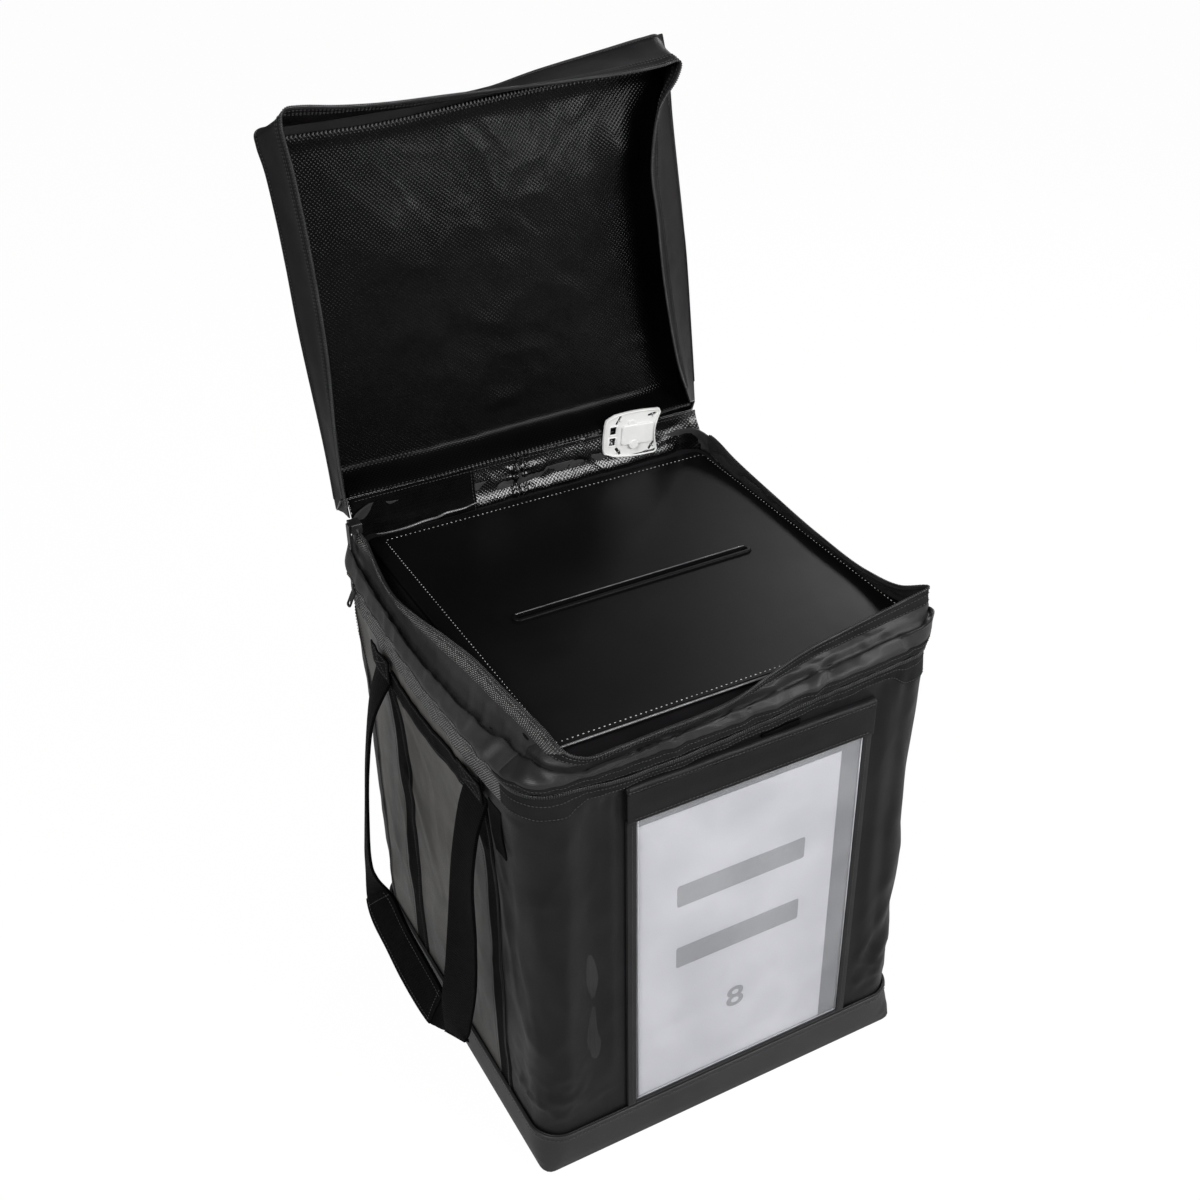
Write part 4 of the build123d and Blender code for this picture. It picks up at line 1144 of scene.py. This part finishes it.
def makeCollar():
    for name, start, end, node in collarPieces:
        # left and rear pieces take the collar cloth painted lighter, front and right the copy painted darker, as
        # painted light and shade
        cloth = "paintedLightCollarCloth" if name in ("collarLeft", "collarRear") else "paintedShadeCollarCloth"
        clothSheet(name, collarGrid(start, end, 0.0, 1.0), 1.4, cloth, "deck", "coated_nylon", [node], -1)
    # lower zip: open net tape at the sides and plain tape along the front, each sewn down
    corner = frontStart - quarter - 8
    for word, start, end, weave in (("Left", zipBegin, corner, "meshTape"),
                                    ("Front", corner, frontRight, "zipTape"),
                                    ("Right", frontRight, zipEnd, "meshTape")):
        s = np.append(np.arange(start, end, 2.4), end)
        upper = collarGrid(start, end, 0.0, 0.24, 0.55, rows=8)
        clothSheet("deckZipTape" + word, upper, 0.5, weave, "deck", "zip_tape", ["deck_zip_tape"], side=-1)
        thread = "darkThread" if word == "Front" else "greyThread"
        rows = [stitchRow(*collarPoint(s, v, 0.75), **tapeThread) for v in (0.07, 0.2)]
        putParts("deckTapeStitches" + word, rows, thread, "deck", "zip_tape")
        deep = 24.0 - 13.0 * ease((s - frontStart) / 20) * ease((rightStart - quarter - s) / 20)
        z = zipHeight - 0.3 - np.linspace(1, 0, 10)[:, None] * deep[None, :]
        clothSheet("bodyZipTape" + word, wallPoint(s, z, 0.7), 0.5, weave, "body", "zip_tape", ["body_zip_tape"], -1)
        rows = [stitchRow(wallPoint(s, zipHeight - 0.3 - deep * share, 0.95), wallNormal(s), **tapeThread)
                for share in (0.3, 0.92)]
        putParts("bodyTapeStitches" + word, rows, thread, "body", "zip_tape")
    s = np.arange(zipBegin, zipEnd, 2.4)
    line = wallPoint(s, zipHeight, 0.9) + np.array([0, 0, 1.3])
    n = wallNormal(s)
    teeth = crosswise(line, n, 1.7, 3.4, 1.15, 1.5)
    core = tube(line - n * 0.3, 0.9, 6)
    putParts("bodyZipCoil", [teeth, core], "coilPlastic", "body", "zip_coil", True, ["body_zip_coil"])

    # upper zip: tape along the top of the collar and its open coil
    start, end, corner = leftAt(150), rightAt(150), frontLeft
    for word, first, last, weave in (("Left", start, corner, "meshTape"), ("Front", corner, end, "zipTape")):
        band = collarGrid(first, last, 0.8, 1.0, 0.55, rows=9)
        clothSheet("collarZipTape" + word, band, 0.5, weave, "deck", "zip_tape", ["collar_zip_tape"], side=-1)
    s = np.arange(start, end, 2.2)
    rows = [stitchRow(*collarPoint(s, v, 0.8), **tapeThread) for v in (0.82, 0.93)]
    putParts("collarTapeStitches", rows, "darkThread", "deck", "zip_tape")
    line, n = collarPoint(s, 1.0, 0.2)
    up = line + np.array([0, 0, 0.6])
    teeth = crosswise(up, n, 1.7, 2.6, 1.1, 1.3)
    putParts("collarZipCoil", [teeth, tube(up, 0.8, 6)], "coilPlastic", "deck", "zip_coil")
    # fine pale piping under the coil
    putParts("collarPiping", [tube(collarPoint(s, 0.985, -1.6)[0], 0.45, 5)], "binding", "deck", "zip_tape")


deck = dict(x=4.0, half=164.4, corner=9.0, foot=427.4, top=432.2, roundness=2.0, slotLong=212.0,
            slotWide=5.0, slotX=4.0, slotY=-8.0, rimTop=434.6, stitchAt=(10.0, -2.5), stitchHalf=(156.5, 157.0))


def makeDeck():
    d = deck
    outer = roundedLoop(d["x"], 0, d["half"], d["half"], d["corner"])
    hole = roundedLoop(d["slotX"], d["slotY"], d["slotLong"] / 2 + 1.4, d["slotWide"] / 2 + 1.4,
                       d["slotWide"] / 2 + 1.39, 6)
    plateFromLoops("slotPanel", [outer, hole], d["foot"] + 0.1, d["top"], d["roundness"], "leatherette", "deck",
                   ["slot_board", "slot_cover"])
    path = roundedLoop(*d["stitchAt"], *d["stitchHalf"], 4.0, 4)
    path = [(x, y, d["top"] + 0.05) for x, y in path + path[:1]]
    row = stitchRow(path, (0, 0, 1), pitch=4.2, length=1.5, width=0.8, height=0.35)
    putParts("panelStitches", [row], "paleThread", "deck", "deck_leatherette")
    # a bead along the panel's front edge and along the back of the slot, coloured pale as a painted highlight
    ends = d["half"] - d["corner"]
    front = tube([(d["x"] + x, -d["half"] + 0.3, d["top"] - 1.0) for x in np.linspace(-ends, ends, 60)], 0.85, 8)
    reach = d["slotLong"] / 2 - 1
    back = tube([(d["slotX"] + x, d["slotY"] + d["slotWide"] / 2 + 1.5, d["rimTop"] - 0.5)
                 for x in np.linspace(-reach, reach, 40)], 0.8, 8)
    putParts("panelHighlightBeads", [front, back], "trimEdge", "deck", "slot_plastic")
    paint("slot_rim", "leatherette")
    # the flange is the cloth that joins the collar to the board
    s = np.linspace(0, aroundLength, 460)
    x, y, nx, ny = outline(s)
    groove = collarBase(s, np.full(len(s), 0.57)) - np.stack([nx, ny, 0 * nx], -1) * 2.0
    inner = np.stack([x - nx * 17, y - ny * 17, 0 * x + 426.6], -1)
    rows = []
    for share in np.linspace(0, 1, 9):
        point = groove * (1 - share) + inner * share
        point[:, 2] += np.sin(share * np.pi) * wavy(22, 4.1, s, share * 20) - 0.6 * (1 - share)
        rows.append(point)
    grid = np.array(rows)
    grid[:, -1] = grid[:, 0]
    clothSheet("deckFlange", grid, 1.2, "lidNylon", "deck", "coated_nylon", ["deck_flange"], 1)


# rear strip
rearStrip = dict(half=169.0, foot=427.6, top=469.2, seam=-11.0, patchEnd=-55.0)
seamThread = dict(pitch=3.0, length=2.1)


def stripPoint(x, z, lift=0.0):
    r = rearStrip
    t = (z - r["foot"]) / (r["top"] - r["foot"])
    y = 171.2 + 2.6 * t ** 2
    # a soft roll along the foot, lit from above, and a second slack band over it
    loose, gathered = ease((x + 52) / 14), ease((x + 40) / 14)
    roll = (3.6 + 1.5 * wavy(26, 4.4, x)) * ridge(z, 433 + 0.02 * (x + 60), 7.0) * ease((155 - np.abs(x)) / 20)
    band = 1.5 * ridge(z, 453 + 3.5 * np.sin(x / 31), 7.5) * loose
    band += 0.7 * (crumple(22, 6.6, x, z * 1.2) - 0.3) * loose
    seam = x - r["seam"] - 0.12 * (z - 448)
    pucker = (1.5 * np.sin(z / 1.65 + 1.2 * np.sin(z / 4)) * np.exp(-np.abs(seam) / 7.0)
              + 0.9 * np.sin(z / 2.9 + 2) * np.exp(-np.abs(seam - 9) / 9.0)) * gathered
    tuck = -2.4 * ridge(seam, 0, 1.6) + 1.8 * ridge(seam, -4.2, 2.6) + 1.1 * ridge(seam, 4.4, 2.8)
    slow = 1.5 * wavy(36, 6.3, x, z * 1.3) * ease((x + 62) / 12)
    crease = 1.3 * ridge(z, 437.5 - 0.10 * (x + 100) + 2.2 * ease((x + 92) / 12), 2.6) * within(x + 150, 12, 92, 10)
    end = np.clip((np.abs(x) - 147) / 22, 0, 1) ** 2
    y = y - (roll + band + pucker + tuck * gathered + slow + crease) - lift
    return np.stack([x, np.minimum(y, 172.9) - 9.0 * end * ease((470 - z) / 24), z + 0 * x], -1)


def makeStrip():
    r = rearStrip
    x = np.concatenate([np.linspace(-r["half"], -30, 70), np.linspace(-29, 16, 80), np.linspace(17, r["half"], 78)])
    z = np.linspace(r["foot"], r["top"], 46)
    clothSheet("rearStrip", stripPoint(*np.meshgrid(x, z)), 1.1, "stripVinyl", "deck", "shiny_vinyl", ["rear_strip"],
               -1)
    x = np.linspace(-r["half"] + 1, r["patchEnd"], 60)
    z = np.linspace(r["foot"] + 0.5, r["top"] - 0.8, 24)
    clothSheet("stripPatch", stripPoint(*np.meshgrid(x, z), 0.5), 0.6, "webbing", "deck", "zip_tape", ["strip_patch"])
    z = np.linspace(r["foot"] + 2, r["top"] - 2, 40)
    rows = [stitchRow(stripPoint(r["seam"] + shift + 0.12 * (z - 448), z, 0.3), outward, **seamThread)
            for shift in (-2.2, 2.4)]
    z = np.linspace(r["foot"] + 2, r["top"] - 2, 30)
    rows.append(stitchRow(stripPoint(np.full(30, r["patchEnd"] - 2.2), z, 1.2), outward))
    x = np.linspace(-r["half"] + 5, r["half"] - 5, 160)
    rows.append(stitchRow(stripPoint(x, np.full(160, r["top"] - 3.2), 1.3), outward))
    putParts("stripStitches", rows, "darkThread", "deck", "shiny_vinyl")
    # a sharp fold of the glossy vinyl along the foot, left of the seam, whose pale colour paints the highlight on the
    # fold
    x = np.linspace(-r["half"] + 8, -44, 90)
    z = 431.0 + 0.035 * (x + 161) + 2.4 * ease((x + 96) / 12) + 0.5 * np.sin(x / 9)
    line = stripPoint(x, z, 1.6)
    thick = 0.25 + 0.75 * np.sin(np.linspace(0.15, np.pi - 0.1, 90))
    putParts("stripHighlightFold", [tube(line, thick[:, None, None], 8)], "trimEdge", "deck", "shiny_vinyl")


# seal housing
seal = dict(x=102.0, left=73.5, right=130.5, foot=444.0, top=488.0, corner=9.0, waist=4.0, back=171.8, thick=2.4,
            turn=6.0, shift=(-2.0, -2.5))


def sealOutline(inset=0.0):
    e = seal
    middle = (e["foot"] + e["top"]) / 2
    narrow = (e["top"] - e["foot"]) / 2 - e["waist"]
    left, right, low, high = e["left"] + inset, e["right"] - inset, e["foot"] + inset, e["top"] - inset
    points = []
    for k in range(13):       # concave right edge
        t = k / 12
        points.append((right - e["waist"] * math.sin(math.pi * t), low + 3 + (high - low - 6) * t))
    points += [(right - 1.0, high - 0.8), (right - 3.2, high)]
    for k in range(9):        # bowed top edge down to the narrow left end
        t = k / 8
        points.append((right - 6 + (left + e["corner"] + 1 - right + 6) * t, high + 0.8 * math.sin(math.pi * t)
                       - 1.6 * t * t))
    points += [(left + 4.5, high - 4.2), (left + 1.4, middle + narrow - 2), (left + 0.3, middle + narrow - 7),
               (left, middle), (left + 0.3, middle - narrow + 7), (left + 1.4, middle - narrow + 2),
               (left + 4.5, low + 4.2)]
    for k in range(9):
        t = k / 8
        points.append((left + e["corner"] + 1 + (right - 6 - left - e["corner"] - 1) * t,
                       low + 1.6 * (1 - t) ** 2 - 0.8 * math.sin(math.pi * t)))
    points += [(right - 3.2, low), (right - 1.0, low + 0.8)]
    return points


def sealTurned(obj):
    # the housing sits a few degrees off square and a little low
    e = seal
    middle = Vector((e["x"], 0, (e["foot"] + e["top"]) / 2)) * mm
    shift = Vector((e["shift"][0], 0, e["shift"][1])) * mm
    obj.data.transform(Matrix.Translation(middle + shift) @ Matrix.Rotation(math.radians(e["turn"]), 4, "Y")
                       @ Matrix.Translation(-middle))


def uprightPlate(name, loops, yFront, thick, edge, material, replaces=()):
    obj = plateFromLoops(name, loops, 0, thick, edge, material, None)
    obj.data.transform(Matrix.Rotation(math.pi / 2, 4, "X"))
    obj.data.transform(Matrix.Translation((0, (yFront + thick) * mm, 0)))
    sealTurned(obj)
    dress(obj, "deck", replaces)


def makeSeal():
    e = seal
    middle = (e["foot"] + e["top"]) / 2
    front = e["back"] - e["thick"]
    windows = [roundedLoop(e["left"] + 9.2, middle + up * 5.4, 3.7, 4.2, 1.2, 3) for up in (-1, 1)]
    slots = []
    for x, z, angle in ((e["left"] + 14, e["top"] - 7.5, 62), (e["left"] + 16, e["foot"] + 6.5, -52),
                        (e["right"] - 8.5, e["top"] - 5.5, 10), (e["right"] - 6.5, e["foot"] + 8, 55)):
        turn = math.radians(angle)
        loop = roundedLoop(0, 0, 4.4, 1.25, 1.1, 3)
        slots.append([(x + a * math.cos(turn) - b * math.sin(turn), z + a * math.sin(turn) + b * math.cos(turn))
                      for a, b in loop])
    uprightPlate("sealPlate", [sealOutline()] + windows + slots, front, e["thick"], 0.6, "whitePlastic",
                 ["seal_plate"])
    rimLine = [(x, front - 0.2, z) for x, z in sealOutline(0.9)]
    parts = [tube(rimLine, 0.95, 8, True)] + [tube([(x, front, z) for x, z in loop], 0.75, 6, True) for loop in windows]
    sealTurned(putParts("sealRim", parts, "whitePlastic", "deck", "seal_plastic"))
    # raised channel that holds the tie, with a round boss each side of it
    body = roundedLoop(e["x"] + 5.5, middle, 16, 9.6, 2.5, 5)
    uprightPlate("sealChannel", [body], front - 2.4, 2.6, 0.9, "whitePlastic")
    for k, (right, up, r, rise) in enumerate(((2.0, -9.5, 4.6, 3.2), (-1.0, 10.5, 4.0, 1.6), (18, -6, 3.0, 1.4))):
        x, z = e["x"] + right, middle + up
        uprightPlate("sealBoss" + str(k), [roundedLoop(x, z, r, r, r * 0.99, 6)], front - rise, rise + 0.3, 0.8,
                     "whitePlastic")
    staples = []
    for loop in slots:
        c = np.mean(loop, axis=0)
        d = unit(np.array(loop[0]) - np.array(loop[len(loop) // 2]))
        n = np.array([-d[1], d[0]])
        wire = [(c + n * reach, y) for reach, y in ((2.2, 1.4), (2.2, -0.35), (-2.2, -0.35), (-2.2, 1.4))]
        staples.append(tube([(x, front + y, z) for (x, z), y in wire], 0.45, 6))
    sealTurned(putParts("sealStaples", staples, "stapleSteel", "deck", "staple_steel", True, ["seal_staples"]))
    paint("seal_cover", "whitePlastic")


# lid
lidHinge, lidLean = (175.0, 470.0), math.radians(4.0)     # y and z of the hinge; the open lid leans back
lidRim = [  # panel edge x, u; free edge x, u, n: from the hinge up the left, over the top and down the right
    (-171, -22, -172, -15, -9), (-172, 12, -174, 18, -10), (-174, 50, -174, 56, -10), (-180, 136, -171, 131, -10),
    (-183, 208, -173, 211, -10), (-187, 262, -177, 270, -10), (-191, 286, -181, 304, -10), (-190, 297, -178, 317, -10),
    (-176, 299, -165, 318, -10), (-140, 298.5, -135, 314, -10), (-95, 299, -97, 311, -10),
    (-45, 300.5, -45, 310, -10), (-1, 303, 0, 308.5, -10), (46, 311, 44, 307, -10), (107, 319, 100, 306, -10),
    (142, 323.5, 136, 307, -10), (158, 323, 155, 309, -10), (164, 305, 153, 296, -9), (166, 274, 136, 272, -8),
    (171, 226, 127, 228, -9), (175, 184, 131, 184, -9), (180, 137, 136, 125, -9), (184, 60, 147, 55, -9),
    (187, -6, 161, 10, -8)]


def lidPoint(x, u, n):
    c, s = math.cos(lidLean), math.sin(lidLean)
    x, u, n = np.broadcast_arrays(*(np.asarray(a, float) for a in (x, u, n)))
    return np.stack([x, lidHinge[0] + u * s + n * c, lidHinge[1] + u * c - n * s], -1)


def rimPoint(t, v, lift=0.0):
    # v runs from the panel's edge (0) to the free edge (1)
    t, v = np.broadcast_arrays(np.asarray(t, float), np.asarray(v, float))

    def raw(t, v):
        k = throughKeys([(i, *row) for i, row in enumerate(lidRim)], np.clip(t, 0, len(lidRim) - 1))
        return lidPoint(k[..., 0] + (k[..., 2] - k[..., 0]) * v, k[..., 1] + (k[..., 3] - k[..., 1]) * v,
                        28 + (k[..., 4] - 28) * v)
    p = raw(t, v)
    n = unit(np.cross(raw(t + 0.04, v) - raw(t - 0.04, v),
                      raw(t, np.minimum(v + 0.02, 1)) - raw(t, np.maximum(v - 0.02, 0))))
    bend = (1.4 * np.sin(np.pi * v) + 1.5 * wavy(20, 5.9, t * 14, v * 30) * within(v, 0.3, 1.05, 0.3)
            + 0.5 * wavy(6.0, 1.1, t * 14, v * 25) * ridge(v, 0.6, 0.3))
    return p + n * np.asarray(bend + lift)[..., None], n


def rimGrid(start, end, low, high, lift=0.0, rows=14, step=0.12):
    t, v = np.linspace(start, end, int((end - start) / step)), np.linspace(low, high, rows)
    return rimPoint(*np.meshgrid(t, v), lift)[0]


lidInner = dict(  # edges of the lining, (share, x, u) along each side
    left=[(0, -166, -3), (0.5, -170, 140), (1, -172, 292)], right=[(0, 166, 3), (0.5, 170, 150), (1, 156, 303)],
    foot=[(0, -166, -1), (0.5, 0, 0.5), (1, 166, 3)],
    top=[(0, -172, 292), (0.25, -92, 292), (0.5, -15, 298), (0.75, 60, 303), (1, 156, 306)])
lidOuter = dict(
    left=[(0, -171, -22), (0.25, -174, 50), (0.5, -180, 136), (0.8, -186, 250), (1, -189, 298)],
    right=[(0, 187, -6), (0.25, 184.5, 60), (0.5, 180.5, 140), (0.8, 170, 255), (0.93, 166.5, 300), (1, 162, 325)],
    foot=[(0, -171, -22), (0.5, 8, -14), (1, 187, -6)],
    top=[(0, -189, 298), (0.25, -100, 299), (0.5, -1, 303), (0.75, 80, 315), (1, 158, 323)])


def fromEdges(edges, a, b):
    # x and u all over an area from its four edges; a runs from left to right, b from the hinge up
    left, right, foot, top = (throughKeys(edges[k], p) for k, p in (("left", b), ("right", b), ("foot", a), ("top", a)))
    ends = [np.array(edges[k][i][1:], float) for k in ("foot", "top") for i in (0, -1)]
    a, b = a[..., None], b[..., None]
    flat = (left * (1 - a) + right * a) + (foot * (1 - b) + top * b)
    corners = ends[0] * (1 - a) * (1 - b) + ends[1] * a * (1 - b) + ends[2] * (1 - a) * b + ends[3] * a * b
    return np.moveaxis(flat - corners, -1, 0)


def liningDepth(a, b, x, u):
    # how far behind the hinge plane the lining lies: it billows forward and is creased
    edge = ease(np.minimum(np.minimum(a, 1 - a), 1 - b) / 0.10)
    billow = 4.0 * ease(np.minimum(np.minimum(a, 1 - a) / 0.3, (1 - b) / 0.35))
    waves = 0.9 * wavy(80, 2.4, x, u) + 0.5 * wavy(42, 7.6, x, u) + 0.22 * wavy(21, 3.9, x, u)
    # dents and swellings that catch the light: at the left, the upper right and the lower right
    waves += 1.5 * ridge(x, -104, 30) * ridge(u, 200, 40) + 5.0 * ridge(x, 118, 22) * ridge(u, 240, 26)
    waves += 2.0 * ridge(x, 120, 20) * ridge(u, 40, 26)
    creases = 0.7 * (crumple(60, 2.1, x + 0.5 * u, u - 0.4 * x) - 0.2) * ridge(x, 0, 120)
    fold = 1.6 * ridge(b, 0.985, 0.018)
    return 24.3 - edge * (billow + waves + creases) - fold - 23.2 * (1 - ease(b / 0.075)) ** 1.5


def makeLid():
    last = len(lidRim) - 1
    for name, start, end, node in (("lidRimLeft", 0, 6.5, "lid_rim_left"), ("lidRimTop", 6.5, 16.6, "lid_rim_front"),
                                   ("lidRimRight", 16.6, last, "lid_rim_right")):
        clothSheet(name, rimGrid(start, end, 0, 0.99), 1.3, "lidNylon", "lid", "coated_nylon", [node], 1)
    tape = rimGrid(0.3, last - 0.3, 0.70, 1.0, -0.55, rows=7)
    clothSheet("lidZipTape", tape, 0.5, "zipTape", "lid", "zip_tape", ["lid_zip_tape"])
    t = np.linspace(0.3, last - 0.3, 520)
    rows = []
    for v in (0.045, 0.735, 0.80, 0.93):
        line, n = rimPoint(t, v, -0.75 if v > 0.5 else -0.1)
        rows.append(stitchRow(line, -n, **seamThread))
        if v > 0.5:
            rows.append(stitchRow(*rimPoint(t, v, 1.4), **seamThread))
    putParts("lidTapeStitches", rows, "darkThread", "lid", "zip_tape")
    line, n = rimPoint(t, 1.0, -0.1)
    teeth = crosswise(line, -n, 1.7, 2.6, 1.1, 1.3)
    putParts("lidZipCoil", [teeth, tube(line, 0.75, 6)], "coilPlastic", "lid", "zip_coil")
    putParts("lidPiping", [tube(rimPoint(t, 0.0, 0.2)[0], 1.1, 7)], "binding", "lid", "coated_nylon")

    # outer panel over its board, and the glossy lining
    a, b = np.meshgrid(np.linspace(0, 1, 90), np.linspace(0, 1, 90))
    x, u = fromEdges(lidOuter, a, b)
    edge = ease(np.minimum(np.minimum(a, 1 - a), np.minimum(b, 1 - b)) / 0.06)
    n = 27.8 + edge * (1.2 * wavy(80, 9.9, x, u) + 0.5 * wavy(30, 4.2, x, u))
    clothSheet("lidPanel", lidPoint(x, u, n), 1.4, "lidNylon", "lid", "coated_nylon", ["lid_panel", "lid_board"], -1)
    a, b = np.meshgrid(np.linspace(0, 1, 170), np.concatenate([np.linspace(0, 0.08, 14), np.linspace(0.085, 1, 150)]))
    x, u = fromEdges(lidInner, a, b)
    grid = lidPoint(x, u, liningDepth(a, b, x, u))
    obj = clothSheet("lidLining", grid, 0.8, "shinyVinyl", "lid", "shiny_vinyl", ["lid_lining"], side=-1)
    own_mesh(obj)
    # closing strip between the panel's lower edge and the hinge
    share, drop = np.meshgrid(np.linspace(0, 1, 90), np.linspace(0, 1, 12))
    edge, up = np.moveaxis(throughKeys(lidOuter["foot"], share), -1, 0)
    foot = np.where(edge < 0, (edge - 8 * ease(-edge / 60)) * 0.975, edge * min(1.0, 168.0 / edge.max()))
    x = edge * (1 - drop) + foot * drop
    u = up * (1 - drop) - 0.9 * drop + 0.8 * wavy(25, 3.0, x, drop * 30) * np.sin(np.pi * drop)
    clothSheet("lidRimRear", lidPoint(x, u, 28 * (1 - drop) + 1.2 * drop), 1.2, "stripVinyl", "lid", "shiny_vinyl",
               ["lid_rim_rear"], 1)


# zip sliders and pulls; the lid's come from the model as they are
zipPull = dict(x=-183.4, y=127.0, z=417.0, lean=26.0, long=24.0, wide=7.0, thick=1.6)
zipSlider = dict(x=-184.6, z=410.8, long=12.0, high=9.5, thick=3.6)


def sidePlate(name, loops, thick, at, lean, body, nodes):
    # a small plate lying against the left side; its foot leans outwards
    obj = plateFromLoops(name, loops, -thick / 2, thick / 2, thick * 0.3, "zipMetal", None)
    t = math.radians(lean)
    obj.data.transform(Matrix(((0, math.sin(t), -math.cos(t), at[0] * mm), (-1, 0, 0, at[1] * mm),
                               (0, math.cos(t), math.sin(t), at[2] * mm), (0, 0, 0, 1))))
    dress(obj, body, nodes)


def makeSliders():
    for node in ("lid_zip_slider", "lid_zip_pull"):
        paint(node, "zipMetal")
    d, p = zipSlider, zipPull
    sidePlate("bodySlider", [roundedLoop(0, 0, d["long"] / 2, d["high"] / 2, 4.0)], d["thick"],
              (d["x"], p["y"], d["z"]), 0, "body_zip_slider", ["body_zip_slider"])
    sidePlate("bodySliderBridge", [roundedLoop(0, 0, 1.5, 4.2, 1.4)], 2.2, (d["x"] - 2.4, p["y"], d["z"] + 1.6), 0,
              "body_zip_slider", [])
    tab = roundedLoop(0, 1.5 - p["long"] / 2, p["wide"] / 2, p["long"] / 2, 2.4)
    eye = roundedLoop(0, 5.0 - p["long"], 1.8, 1.8, 1.79)
    ring = roundedLoop(0, -4.0, 1.7, 2.6, 1.2)
    sidePlate("bodyPull", [tab, eye, ring], p["thick"], (p["x"], p["y"], p["z"]), p["lean"], "body_zip_pull",
              ["body_zip_pull"])


makeCollar()
makeDeck()
makeStrip()
makeSeal()
print("stage: collar, deck, rear strip and seal")
makeLid()
makeSliders()
print("stage: lid and zips")
